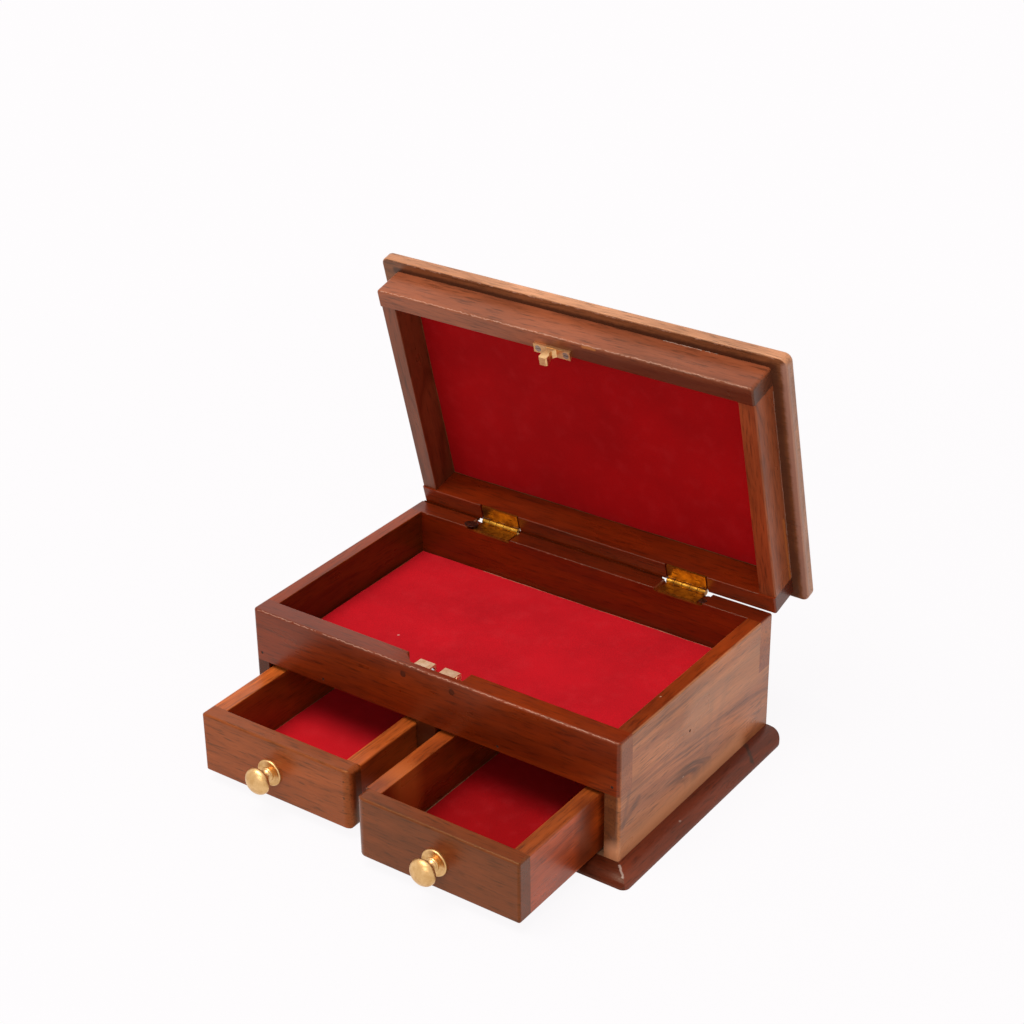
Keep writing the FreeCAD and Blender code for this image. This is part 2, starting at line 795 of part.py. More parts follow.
# ---------------------------------------------------------------- drawers, drawn shut
def drawer_envelope(centre_x, side):
    """The drawer's four boards as one, with eased edges. side is -1 for the left drawer, 1 for
    the right one, and the corner nearest the divider is the most rounded."""
    x_range = (centre_x - drawer_width / 2, centre_x + drawer_width / 2)
    y_range = (case_front, case_front + drawer_length)
    shape = block(x_range, y_range, (drawer_base, drawer_top))
    for edge in upright_edges(shape):
        point = middle(edge)
        at_front = abs(point.y - case_front) < 1e-4
        near_divider = (point.x - centre_x) * side < 0
        radius = drawer_inner_corner_round if at_front and near_divider else drawer_outer_corner_round
        same = [other for other in upright_edges(shape) if middle(other).isEqual(point, 1e-3)]
        shape = shape.makeFillet(radius, same)
    for height in (drawer_top, drawer_base):
        shape = shape.makeFillet(drawer_edge_round, edges_at(shape, 2, height))
    well_x = (x_range[0] + drawer_left_side_thickness, x_range[1] - drawer_right_side_thickness)
    well_y = (y_range[0] + drawer_front_thickness, y_range[1] - drawer_back_thickness)
    return hollowed(shape, well_x, well_y, (drawer_base, drawer_top), drawer_top)


def rounded_front_end(left, right, side):
    """A block over a drawer's front, with the end nearest the divider rounded off above and below."""
    y_range = (case_front, case_front + drawer_front_thickness)
    shape = block((left, right), y_range, (drawer_base, drawer_top))
    end = left if side > 0 else right
    along_y = [edge for edge in edges_at(shape, 0, end) if abs(middle(edge).y - sum(y_range) / 2) < 1e-4]
    return shape.makeFillet(drawer_inner_end_round, along_y)


def drawer_bottom_ranges(centre_x, margin):
    """The drawer's inside, larger all round by a margin."""
    left = centre_x - drawer_width / 2 + drawer_left_side_thickness - margin
    right = centre_x + drawer_width / 2 - drawer_right_side_thickness + margin
    front = case_front + drawer_front_thickness - margin
    back = case_front + drawer_length - drawer_back_thickness + margin
    return (left, right), (front, back)


def drawer_bottom(centre_x):
    """The bottom board, let into rebates in the four boards."""
    x_range, y_range = drawer_bottom_ranges(centre_x, drawer_bottom_rebate)
    return block(x_range, y_range, (drawer_base, drawer_base + drawer_bottom_thickness))


def drawer_lining(centre_x):
    """Velvet on the drawer's bottom."""
    x_range, y_range = drawer_bottom_ranges(centre_x, -velvet_edge_gap)
    floor = drawer_base + drawer_bottom_thickness
    return block(x_range, y_range, (floor, floor + drawer_velvet_thickness))


def arc(start, through, end):
    """An arc in the XZ plane through three points, each given as (x, z)."""
    return Part.Arc(*[Vector(x, 0, z) for x, z in (start, through, end)]).toShape()


def knob():
    """A turned knob along +Z: dished flange, bead, neck, mushroom head, and its screw's blind hole."""
    rim = knob_flange_thickness - knob_flange_edge
    rim_inner = knob_flange_radius - rim
    slant = rim * math.sqrt(0.5)
    dish_middle = (rim_inner + knob_bead_root_radius) / 2
    bead_top = knob_flange_thickness + knob_bead_height
    root = knob_bead_root_radius
    hole = knob_screw_radius
    outline = [
        Part.makeLine(Vector(0, 0, knob_screw_grip), Vector(hole, 0, knob_screw_grip)),
        Part.makeLine(Vector(hole, 0, knob_screw_grip), Vector(hole, 0, 0)),
        Part.makeLine(Vector(hole, 0, 0), Vector(knob_flange_radius, 0, 0)),
        Part.makeLine(Vector(knob_flange_radius, 0, 0), Vector(knob_flange_radius, 0, knob_flange_edge)),
        arc((knob_flange_radius, knob_flange_edge), (rim_inner + slant, knob_flange_edge + slant),
            (rim_inner, knob_flange_thickness)),
        arc((rim_inner, knob_flange_thickness), (dish_middle, knob_flange_thickness - knob_dish_depth),
            (root, knob_flange_thickness)),
        arc((root, knob_flange_thickness), (knob_bead_radius, knob_flange_thickness + knob_bead_height / 2),
            (root, bead_top)),
        arc((root, bead_top), (knob_neck_radius, (bead_top + knob_neck_top) / 2), (root, knob_neck_top)),
        quarter_ellipse(Vector(root, 0, knob_head_plane), Vector(root, 0, knob_neck_top),
                        Vector(knob_head_radius, 0, knob_head_plane)),
        quarter_ellipse(Vector(0, 0, knob_head_plane), Vector(knob_head_radius, 0, knob_head_plane),
                        Vector(0, 0, knob_length)),
        Part.makeLine(Vector(0, 0, knob_length), Vector(0, 0, knob_screw_grip)),
    ]
    return turned(outline)


def knob_screw():
    """A slotted machine screw along +Z: its head lies inside the drawer, under z = 0."""
    shank = cylinder(knob_screw_radius, Vector(0, 0, 0),
                     Vector(0, 0, drawer_front_thickness + knob_screw_grip))
    head = cylinder(knob_screw_head_radius, Vector(0, 0, -knob_screw_head_height), Vector(0, 0, 0))
    head = head.makeFillet(knob_screw_head_height / 3, edges_at(head, 2, -knob_screw_head_height))
    reach = knob_screw_head_radius + 1
    half = screw_slot_width / 2
    slot = block((-reach, reach), (-half, half),
                 (-knob_screw_head_height, -knob_screw_head_height + 2 * screw_slot_depth))
    return head.cut(slot).fuse(shank)


def drawer(name, side, centre_x, knob_x, pull):
    """Every piece of one drawer, drawn shut and then pulled out towards -Y."""
    envelope = drawer_envelope(centre_x, side).cut(drawer_bottom(centre_x))
    left, right = centre_x - drawer_width / 2, centre_x + drawer_width / 2
    front_back = case_front + drawer_front_thickness
    back_front = case_front + drawer_length - drawer_back_thickness
    back = case_front + drawer_length
    z_range = (drawer_base, drawer_top)
    inner_x = (left + drawer_left_side_thickness, right - drawer_right_side_thickness)
    screw = aimed(knob_screw(), Vector(knob_x, front_back, knob_height), Vector(0, -1, 0))
    pieces = {
        "front": envelope.common(rounded_front_end(left, right, side)).cut(screw),
        "left_side": envelope.common(block((left, inner_x[0]), (front_back, back), z_range)),
        "right_side": envelope.common(block((inner_x[1], right), (front_back, back), z_range)),
        "back": envelope.common(block(inner_x, (back_front, back), z_range)),
        "bottom": drawer_bottom(centre_x),
        "lining": drawer_lining(centre_x),
        "knob": aimed(knob(), Vector(knob_x, case_front, knob_height), Vector(0, -1, 0)),
        "knob_screw": screw,
    }
    pulled = {}
    for piece, shape in pieces.items():
        moved = shape.copy()
        moved.translate(Vector(0, -pull, 0))
        pulled[name + "_" + piece] = moved
    return pulled


# ---------------------------------------------------------------- the whole box
def case_pieces():
    envelope = case_envelope()
    hinge_screw = slotted(countersunk_screw(hinge_screw_length))
    return {
        "base_board": base_board(),
        "moulding_front": moulding_front(),
        "moulding_left": moulding_side(-1),
        "moulding_right": moulding_side(1),
        "left_side": side_panel(envelope, -1),
        "right_side": side_panel(envelope, 1),
        "front_rail": front_rail(envelope),
        "back_rail": back_rail(envelope),
        "back_panel": back_panel(),
        "centre_divider": centre_divider(),
        "tray_floor": tray_floor(),
        "tray_lining": tray_lining(),
        "panel_pins": set_out(panel_pin(), panel_pin_places()),
        "rail_plugs": set_out(rail_plug(), rail_plug_places()),
        "left_hinge_case_leaf": case_leaf(left_hinge_x),
        "right_hinge_case_leaf": case_leaf(right_hinge_x),
        "hinge_pins": hinge_pins(),
        "hinge_case_screws": set_out(hinge_screw, case_hinge_screw_places()),
        "catch_body": catch_body(),
        "catch_screws": set_out(slotted(catch_screw()), catch_screw_places()),
        "catch_set_screws": catch_set_screws(),
        "catch_left_ball": catch_ball(-1),
        "catch_right_ball": catch_ball(1),
        "catch_left_spring": catch_spring(-1),
        "catch_right_spring": catch_spring(1),
    }


def lid_pieces():
    strike_screw = slotted(countersunk_screw(strike_screw_length))
    hinge_screw = slotted(countersunk_screw(hinge_screw_length))
    shut = {
        "lid_board": lid_board(),
        "lid_front_member": lid_front_member(),
        "lid_back_member": lid_back_member(),
        "lid_left_member": lid_side_member(-1),
        "lid_right_member": lid_side_member(1),
        "lid_lining": lid_lining(),
        "strike": strike(),
        "strike_screws": set_out(strike_screw, strike_screw_places()),
        "left_hinge_lid_leaf": lid_leaf(left_hinge_x),
        "right_hinge_lid_leaf": lid_leaf(right_hinge_x),
        "hinge_lid_screws": set_out(hinge_screw, lid_hinge_screw_places()),
    }
    return {name: opened(shape) for name, shape in shut.items()}


pieces = case_pieces()
pieces.update(lid_pieces())
pieces.update(drawer("left_drawer", -1, left_drawer_centre, left_knob_x, left_drawer_pull))
pieces.update(drawer("right_drawer", 1, right_drawer_centre, right_knob_x, right_drawer_pull))

os.makedirs("parts", exist_ok=True)
for name, shape in pieces.items():
    shape.exportStep("parts/" + name + ".step")
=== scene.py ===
import json
import math

import bpy
import numpy as np
from mathutils import Matrix, Vector


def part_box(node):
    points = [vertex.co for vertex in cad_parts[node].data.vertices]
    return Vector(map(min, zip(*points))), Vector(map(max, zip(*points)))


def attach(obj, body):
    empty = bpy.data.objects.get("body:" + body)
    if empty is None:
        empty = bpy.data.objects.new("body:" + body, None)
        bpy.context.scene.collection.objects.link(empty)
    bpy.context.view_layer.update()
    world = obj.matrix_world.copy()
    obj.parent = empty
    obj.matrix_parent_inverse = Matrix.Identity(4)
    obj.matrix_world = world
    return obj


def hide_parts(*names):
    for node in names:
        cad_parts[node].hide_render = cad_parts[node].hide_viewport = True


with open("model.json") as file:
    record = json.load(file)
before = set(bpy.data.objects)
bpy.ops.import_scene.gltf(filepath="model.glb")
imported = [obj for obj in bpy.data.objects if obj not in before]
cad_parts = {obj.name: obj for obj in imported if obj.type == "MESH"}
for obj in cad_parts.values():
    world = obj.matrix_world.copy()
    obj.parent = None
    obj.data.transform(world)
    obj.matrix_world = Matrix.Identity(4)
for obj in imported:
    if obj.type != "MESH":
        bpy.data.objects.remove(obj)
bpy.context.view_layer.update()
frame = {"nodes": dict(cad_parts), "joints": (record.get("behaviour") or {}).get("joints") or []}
nodes = frame["nodes"]


# ---------------------------------------------------------------- base board and moulding
# The box stands on a thin board. Quarter-round strips of sheesham are glued round its front and
# sides, mitred at the front corners and rounded off by hand at the back, then stained and
# lacquered with the case.
ALONG_X = (0.0, 0.0, 0.0)
ALONG_Y = (0.0, 0.0, -math.pi / 2)
ORIGIN = (0.0, 0.0, 0.0)
NOISE_MEAN = (0.5, 0.5, 0.5)
MIX_FACTOR, MIX_FIRST, MIX_SECOND, MIX_RESULT = 0, 6, 7, 2


def shader(tree, kind, inputs=None, **settings):
    """One shader node: its settings, then its sockets by name or number, linked or set."""
    made = tree.nodes.new("ShaderNode" + kind)
    for key, value in settings.items():
        setattr(made, key, value)
    for key, value in (inputs or {}).items():
        if isinstance(value, bpy.types.NodeSocket):
            tree.links.new(value, made.inputs[key])
        else:
            made.inputs[key].default_value = value
    return made


def new_material(name, constants):
    """A material with a Principled shader, whose sockets are set to the constants, and its tree."""
    material = bpy.data.materials.new(name)
    material.use_nodes = True
    tree = material.node_tree
    tree.nodes.clear()
    surface = shader(tree, "BsdfPrincipled", constants)
    shader(tree, "OutputMaterial", {"Surface": surface.outputs["BSDF"]})
    return material, tree, surface


def placed(tree, turn, shift, cells):
    """Object coordinates turned so that X runs along the board, shifted, then stretched.

    The shift moves each axis by its own share, so that no two boards show the same noise. Cells
    is how many cells of noise then lie in a metre, along the board and across it.
    """
    where = shader(tree, "TexCoord").outputs["Object"]
    turned = shader(tree, "Mapping", {"Vector": where, "Rotation": turn,
                                      "Location": (shift, shift * 0.7, shift * 0.4)})
    return shader(tree, "Mapping", {"Vector": turned.outputs[0], "Scale": cells}).outputs[0]


def noise(tree, vector, detail=2.0, roughness=0.5, scale=1.0):
    """A noise node: more detail gives finer steps, and more roughness makes them stronger."""
    return shader(tree, "TexNoise", {"Vector": vector, "Scale": scale, "Detail": detail,
                                     "Roughness": roughness})


def ramp(tree, factor, *stops):
    """A colour ramp: each stop is a position and a grey value or a colour."""
    made = shader(tree, "ValToRGB", {"Fac": factor})
    elements = made.color_ramp.elements
    while len(elements) < len(stops):
        elements.new(1.0)
    for element, (position, colour) in zip(elements, stops):
        if isinstance(colour, (int, float)):
            colour = (colour, colour, colour)
        element.position = position
        element.color = (*colour, 1.0)
    return made.outputs["Color"]


def mixed(tree, factor, first, second, mode="MIX"):
    """Two colours mixed by a factor. A colour is a link or three numbers."""
    made = shader(tree, "Mix", data_type="RGBA", blend_type=mode, clamp_factor=True)
    for number, value in ((MIX_FACTOR, factor), (MIX_FIRST, first), (MIX_SECOND, second)):
        if isinstance(value, bpy.types.NodeSocket):
            tree.links.new(value, made.inputs[number])
        elif number == MIX_FACTOR:
            made.inputs[number].default_value = value
        else:
            made.inputs[number].default_value = (*value, 1.0)
    return made.outputs[MIX_RESULT]


def multiplied(tree, first, second):
    """A colour darkened or lightened by another, or by a ramp of greys."""
    return mixed(tree, 1.0, first, second, "MULTIPLY")


def arithmetic(tree, operation, first, second):
    """One Math node's output."""
    return shader(tree, "Math", {0: first, 1: second}, operation=operation).outputs[0]


def vector_step(tree, operation, first, second, output="Vector"):
    """One Vector Math node's output."""
    return shader(tree, "VectorMath", {0: first, 1: second}, operation=operation).outputs[output]


def scaled(tree, vector, share):
    """A vector times one number."""
    return shader(tree, "VectorMath", {0: vector, "Scale": share}, operation="SCALE").outputs[0]


def eased(tree, value, start, end, low=0.0, high=1.0):
    """A value between start and end as a share from low to high, held there past both ends."""
    return shader(tree, "MapRange", {"Value": value, "From Min": start, "From Max": end,
                                     "To Min": low, "To Max": high}).outputs[0]


def facing(tree, direction):
    """1 where the surface looks within 14 degrees of a direction, and 0 past 40 degrees from it."""
    normal = shader(tree, "TexCoord").outputs["Normal"]
    return eased(tree, vector_step(tree, "DOT_PRODUCT", normal, direction, "Value"), 0.77, 0.97)


def marked(tree, colour, marks, unsteady=0.0008):
    """Marks on a face: each is a stroke between two points, with a width, a colour and a strength.

    A point's distance to a stroke is measured after a small noise is added to its place, so that
    a stroke's edge wanders. A stroke is full within a fifth of its width from its line and gone
    at half of it. A short one is a spot.
    """
    place = shader(tree, "TexCoord").outputs["Object"]
    waver = noise(tree, place, 3.0, scale=420.0).outputs["Color"]
    waver = vector_step(tree, "SUBTRACT", waver, NOISE_MEAN)
    place = vector_step(tree, "ADD", place, scaled(tree, waver, unsteady * 2))
    for start, end, width, tint, strength in marks:
        run = Vector(end) - Vector(start)
        from_start = vector_step(tree, "SUBTRACT", place, start)
        share = vector_step(tree, "DOT_PRODUCT", from_start, tuple(run / run.length_squared), "Value")
        inside = shader(tree, "Clamp", {"Value": share}).outputs[0]
        from_line = vector_step(tree, "SUBTRACT", from_start, scaled(tree, tuple(run), inside))
        away = vector_step(tree, "LENGTH", from_line, ORIGIN, "Value")
        colour = mixed(tree, eased(tree, away, width / 2, width / 5, 0.0, strength), colour, tint)
    return colour


BEND_CELLS = (9.0, 30.0, 30.0)
CLOUD_CELLS, CLOUD_SHIFT = (16.0, 34.0, 34.0), 5.0
PORE_CELLS, PORE_SHIFT = (95.0, 1050.0, 1050.0), 7.0
HAZE_CELLS = (25.0, 60.0, 60.0)
BAND_RINGS, BAND_STRETCH = 90.0, 5.0
VEIN_RINGS, VEIN_STRETCH = 330.0, 12.0
EYE_FAR, EYE_NEAR = 0.030, 0.008


def trunk_place(tree, where, turn, shift, pith, lean, bent):
    """How far a place lies from a trunk's pith, and how far along it.

    The place is taken from the pith, turned so that X runs along the board, moved across it by a
    slow noise, since no trunk is straight, and turned again by the trunk's lean.
    """
    board = shader(tree, "Mapping", {"Vector": vector_step(tree, "SUBTRACT", where, pith),
                                     "Rotation": turn}).outputs[0]
    bend = noise(tree, placed(tree, turn, shift, BEND_CELLS)).outputs["Color"]
    bend = vector_step(tree, "SUBTRACT", bend, NOISE_MEAN)
    board = vector_step(tree, "ADD", board, vector_step(tree, "MULTIPLY", bend, (0.0, bent, bent)))
    trunk = shader(tree, "Mapping", {"Vector": board, "Rotation": (0.0, *lean)}).outputs[0]
    across = vector_step(tree, "MULTIPLY", trunk, (0.0, 1.0, 1.0))
    radius = vector_step(tree, "LENGTH", across, ORIGIN, "Value")
    return radius, shader(tree, "SeparateXYZ", {0: trunk}).outputs["X"]


def growth(tree, radius, length, rings, stretch, shift):
    """Noise over a trunk's radius and length: rings to a metre outwards, stretched along it."""
    drawn = shader(tree, "CombineXYZ", {"X": arithmetic(tree, "MULTIPLY", radius, rings),
                                        "Y": arithmetic(tree, "MULTIPLY", length, stretch),
                                        "Z": shift * 3.0})
    return noise(tree, drawn.outputs[0], 3.0, 0.55).outputs["Fac"]


def sheesham(name, heart, sap, vein, turn, shift, pith=(0.0, 0.0, -0.06), lean=(0.02, 0.05),
             rings=1.0, bent=0.022, eye=None, veining=0.5, blotch=0.15, gloss=0.3, shine=0.5,
             amber=(1.0, 0.74, 0.52), ends=(0.55, 0.55, 0.55), faces=(), marks=()):
    """Lacquered sheesham, sawn from a trunk whose pith runs near a point and leans a little.

    Wide rings of growth give bands of heart and sap, and narrow ones give thin dark veins, which
    make arches where the board's face crosses the rings. Veins are darker round the eye of an
    arch. Slow clouds vary the stain, and open pores are short dark dashes along the grain. The
    end grain has a tint of its own, and each listed face is lightened or darkened by the way it
    faces: painted light and shade. The lacquer is amber, so what it mirrors is tinted.
    """
    material, tree, surface = new_material(name, {"IOR": 1.5, "Specular IOR Level": shine,
                                                  "Specular Tint": (*amber, 1.0)})
    where = shader(tree, "TexCoord").outputs["Object"]
    radius, length = trunk_place(tree, where, turn, shift, pith, lean, bent)
    bands = growth(tree, radius, length, BAND_RINGS * rings, BAND_STRETCH, shift)
    lines = growth(tree, radius, length, VEIN_RINGS * rings, VEIN_STRETCH, shift)
    colour = mixed(tree, ramp(tree, bands, (0.36, 0.0), (0.62, 1.0)), heart, sap)
    colour = mixed(tree, ramp(tree, lines, (0.30, veining), (0.45, 0.0)), colour, vein)
    colour = multiplied(tree, colour, ramp(tree, lines, (0.5, 1.0), (0.72, 1.12)))
    if eye:
        near = eased(tree, vector_step(tree, "DISTANCE", where, eye, "Value"), EYE_FAR, EYE_NEAR)
        arch = arithmetic(tree, "MULTIPLY", near, ramp(tree, lines, (0.40, 0.85), (0.52, 0.0)))
        colour = mixed(tree, arch, colour, vein)
    cloud = noise(tree, placed(tree, turn, shift + CLOUD_SHIFT, CLOUD_CELLS), 3.0, 0.55).outputs["Fac"]
    colour = multiplied(tree, colour, ramp(tree, cloud, (0.3, 1.0 - blotch), (0.7, 1.0 + blotch)))
    pores = noise(tree, placed(tree, turn, shift + PORE_SHIFT, PORE_CELLS), 2.5, 0.6).outputs["Fac"]
    colour = multiplied(tree, colour, ramp(tree, pores, (0.28, 0.45), (0.46, 1.0), (0.75, 1.18)))
    # Only turns about X and Z count here: the plugs' end grain is hidden in their holes.
    grain = Matrix.Rotation(-turn[0], 3, "X") @ Matrix.Rotation(-turn[2], 3, "Z") @ Vector((1, 0, 0))
    for direction, tint in (*faces, (tuple(grain), ends), (tuple(-grain), ends)):
        dyed = vector_step(tree, "MULTIPLY", colour, tint)
        colour = mixed(tree, facing(tree, direction), colour, dyed)
    if marks:
        colour = marked(tree, colour, marks)
    tree.links.new(colour, surface.inputs["Base Color"])
    haze = noise(tree, placed(tree, turn, shift, HAZE_CELLS), 3.0).outputs["Fac"]
    tree.links.new(eased(tree, haze, 0.3, 0.7, gloss - 0.05, gloss + 0.08), surface.inputs["Roughness"])
    bump = shader(tree, "Bump", {"Height": pores, "Strength": 0.2, "Distance": 0.0002})
    tree.links.new(bump.outputs[0], surface.inputs["Normal"])
    return material


def finish_nodes(names, material):
    """Gives CAD nodes one material."""
    for name in names:
        nodes[name].data.materials.clear()
        nodes[name].data.materials.append(material)


MOULDING_VEIN = (0.03, 0.008, 0.005)
PALE_FILLER = (0.55, 0.42, 0.34)
DARK_FILLER = (0.02, 0.009, 0.006)
MITRE_GLUE = ((0.1168, -0.0758, 0.0060), (0.1222, -0.0812, 0.0047), 0.0016, PALE_FILLER, 0.6)
finish_nodes(["moulding_front"], sheesham(
    "moulding across the front", heart=(0.06, 0.009, 0.003), sap=(0.09, 0.015, 0.005),
    vein=MOULDING_VEIN, turn=ALONG_X, shift=0.31, veining=0.4, shine=0.3, marks=[MITRE_GLUE]))
finish_nodes(["moulding_left", "moulding_right"], sheesham(
    "moulding down the sides", heart=(0.11, 0.015, 0.005), sap=(0.17, 0.028, 0.010),
    vein=MOULDING_VEIN, turn=ALONG_Y, shift=0.83, veining=0.4, shine=0.4,
    marks=[((0.116, 0.0500, 0.0060), (0.1246, 0.0416, 0.0033), 0.0034, DARK_FILLER, 0.75),
           ((0.1215, -0.0267, 0.0049), (0.1215, -0.0262, 0.0049), 0.0016, PALE_FILLER, 0.5),
           MITRE_GLUE]))
finish_nodes(["base_board"], sheesham(
    "base board", heart=(0.22, 0.10, 0.05), sap=(0.27, 0.13, 0.07), vein=(0.12, 0.05, 0.03),
    turn=ALONG_X, shift=1.7, gloss=0.6, shine=0.2))


# ---------------------------------------------------------------- case
# Six solid boards: two sides, a front and a back rail lapped over the sides' corners, a lower
# back and a divider. They are glued and pinned, sanded flush and lacquered. Every board came
# from another plank, so each has its own colour and figure.
ALONG_Z = (0.0, math.pi / 2, 0.0)
UP = (0.0, 0.0, 1.0)
RIGHT = (1.0, 0.0, 0.0)
RAIL_VEIN = (0.07, 0.008, 0.001)
# Painted highlight: a pale line along a rounded arris, where the lamps glint on it.
ARRIS_HIGHLIGHT = (0.62, 0.34, 0.24)
ARRIS_INSET = 0.0004
FRONT_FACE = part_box("front_rail")[0][1]
RIGHT_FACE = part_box("right_side")[1][0]
RIM_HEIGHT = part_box("back_rail")[1][2]


def on_right_side(y, z):
    """A place on the outer face of the right side."""
    return (RIGHT_FACE, y, z)


# A painted highlight runs along its top front arris.
finish_nodes(["front_rail"], sheesham(
    "front rail", heart=(0.135, 0.013, 0.001), sap=(0.20, 0.023, 0.002), vein=RAIL_VEIN,
    turn=ALONG_X, shift=2.2, pith=(0.0, -0.03, -0.05), veining=0.35, ends=(1.9, 4.8, 18.0),
    marks=[((-0.112, FRONT_FACE + ARRIS_INSET, RIM_HEIGHT - ARRIS_INSET),
            (0.112, FRONT_FACE + ARRIS_INSET, RIM_HEIGHT - ARRIS_INSET), 0.0006, ARRIS_HIGHLIGHT, 0.45)]))
# A painted highlight runs along the rail's inner top arris.
finish_nodes(["back_rail", "back_panel"], sheesham(
    "back rail", heart=(0.10, 0.008, 0.001), sap=(0.14, 0.013, 0.001), vein=RAIL_VEIN,
    turn=ALONG_X, shift=4.9, pith=(0.0, 0.03, -0.05), veining=0.3, ends=(3.0, 9.0, 30.0),
    marks=[((-0.112, 0.0622, 0.0747), (0.108, 0.0622, 0.0747), 0.0005, ARRIS_HIGHLIGHT, 0.4)]))
# Painted light and shade: its top is lightened and its inner face, turned to the tray, is darkened.
finish_nodes(["left_side"], sheesham(
    "left side", heart=(0.14, 0.018, 0.0025), sap=(0.19, 0.03, 0.004), vein=RAIL_VEIN,
    turn=ALONG_Y, shift=5.3, pith=(0.0, 0.0, -0.04), shine=0.36,
    faces=[(UP, (1.3, 1.1, 0.9)), (RIGHT, (0.65, 0.8, 0.8))]))

DARK_VEIN = (0.11, 0.035, 0.018)
DARK_STREAK = (0.13, 0.04, 0.02)
SMOKY_STREAK = (0.16, 0.06, 0.03)
PALE_NICK = (0.6, 0.42, 0.3)
PALE_RIM_NICK = (0.6, 0.45, 0.3)
# Painted reflection: a pale stripe along the foot of the right side, where it mirrors the white floor.
FLOOR_REFLECTION_STRIPE = (0.72, 0.30, 0.14)
SAP_CLOUD = (0.66, 0.28, 0.13)
# Its top is darkened by the way it faces, a painted shade, and the pale stripe low on it is a painted
# reflection.
finish_nodes(["right_side"], sheesham(
    "right side", heart=(0.27, 0.075, 0.025), sap=(0.44, 0.14, 0.044), vein=(0.11, 0.032, 0.014),
    turn=ALONG_Y, shift=6.1, pith=(0.097, 0.0, 0.0135), lean=(0.0, -0.14), rings=1.7, bent=0.009,
    eye=on_right_side(-0.006, 0.017), blotch=0.3, ends=(0.35, 0.3, 0.25), faces=[(UP, (0.5, 0.23, 0.1))],
    marks=[(on_right_side(-0.072, 0.025), on_right_side(-0.056, 0.034), 0.0050, DARK_VEIN, 0.5),
           (on_right_side(-0.070, 0.025), on_right_side(-0.064, 0.046), 0.0040, DARK_STREAK, 0.4),
           (on_right_side(-0.0136, 0.0218), on_right_side(-0.0130, 0.0218), 0.0014, PALE_NICK, 0.5),
           ((0.1085, -0.0277, RIM_HEIGHT), (0.1087, -0.0270, RIM_HEIGHT), 0.0009, PALE_RIM_NICK, 0.6),
           (on_right_side(0.0187, 0.031), on_right_side(0.0292, 0.058), 0.007, SMOKY_STREAK, 0.22),
           (on_right_side(0.0088, 0.026), on_right_side(0.0140, 0.054), 0.006, SMOKY_STREAK, 0.2),
           (on_right_side(-0.074, 0.0075), on_right_side(0.040, 0.0075), 0.024, FLOOR_REFLECTION_STRIPE, 0.8),
           (on_right_side(0.000, 0.054), on_right_side(0.070, 0.051), 0.034, SAP_CLOUD, 0.35)]))
finish_nodes(["centre_divider"], sheesham(
    "divider", heart=(0.09, 0.012, 0.0015), sap=(0.12, 0.02, 0.002), vein=RAIL_VEIN,
    turn=ALONG_Y, shift=7.4))
finish_nodes(["tray_floor"], sheesham(
    "tray floor", heart=(0.2, 0.06, 0.02), sap=(0.25, 0.08, 0.03), vein=RAIL_VEIN,
    turn=ALONG_X, shift=8.2, gloss=0.55, shine=0.2))
finish_nodes(["rail_plugs"], sheesham(
    "rail plugs", heart=(0.06, 0.008, 0.0015), sap=(0.09, 0.012, 0.002), vein=RAIL_VEIN,
    turn=ALONG_Z, shift=9.1))


# ---------------------------------------------------------------- tray velvet
# A piece of red cotton velvet glued over the tray floor. It was cut by hand, so its edge wavers a
# little short of the walls, and its pale backing shows along the back, where it frayed.
TRAY_VELVET_RED = (0.54, 0.005, 0.012)
VELVET_BACKING = (0.42, 0.23, 0.13)
VELVET_LINT = (0.7, 0.4, 0.35)
RUBBED_RED = (0.8, 0.08, 0.09)
RUBBED_SHARE = 0.25
BRUSHED_CELLS = (22.0, 22.0, 22.0)
RUBBED_CELLS = (110.0, 110.0, 110.0)
PILE_CELLS = (2600.0, 2600.0, 2600.0)
CLOTH_COLUMNS, CLOTH_ROWS = 90, 60
RIM_STEPS = 4


def velvet(name, colour, shift, sheen, marks=()):
    """Short cotton pile.

    Cloudy patches are lighter where the pile was brushed, small ones are rubbed pale, and single
    tips are darker or lighter. The colour lifts where the pile is seen from the side.
    """
    material, tree, surface = new_material(name, {
        "Roughness": 0.95, "Specular IOR Level": 0.15, "Sheen Weight": sheen, "Sheen Roughness": 0.4,
        "Sheen Tint": (1.0, 0.12, 0.12, 1.0)})
    brushed = noise(tree, placed(tree, ALONG_X, shift, BRUSHED_CELLS), 4.0, 0.55).outputs["Fac"]
    rubbed = noise(tree, placed(tree, ALONG_X, shift + 1.0, RUBBED_CELLS), 4.0, 0.6).outputs["Fac"]
    pile = noise(tree, placed(tree, ALONG_X, shift, PILE_CELLS), 1.0).outputs["Fac"]
    shade = multiplied(tree, colour, ramp(tree, brushed, (0.3, 0.86), (0.7, 1.12)))
    shade = multiplied(tree, shade, ramp(tree, pile, (0.2, 0.8), (0.8, 1.15)))
    pale = Vector(colour).lerp(Vector(RUBBED_RED), RUBBED_SHARE)
    shade = mixed(tree, ramp(tree, rubbed, (0.5, 0.0), (0.8, 0.25)), shade, pale)
    if marks:
        shade = marked(tree, shade, marks, 0.0006)
    tree.links.new(shade, surface.inputs["Base Color"])
    bump = shader(tree, "Bump", {"Height": pile, "Strength": 0.35, "Distance": 0.0003})
    tree.links.new(bump.outputs[0], surface.inputs["Normal"])
    return material


def grid_steps(count, fall):
    """Places from 0 to 1: close ones that ease into the rim over the fall, even ones between."""
    rim = fall * np.sin(np.linspace(0, np.pi / 2, RIM_STEPS + 1))[:-1]
    return np.concatenate([rim, np.linspace(fall, 1 - fall, count), 1 - rim[::-1]])


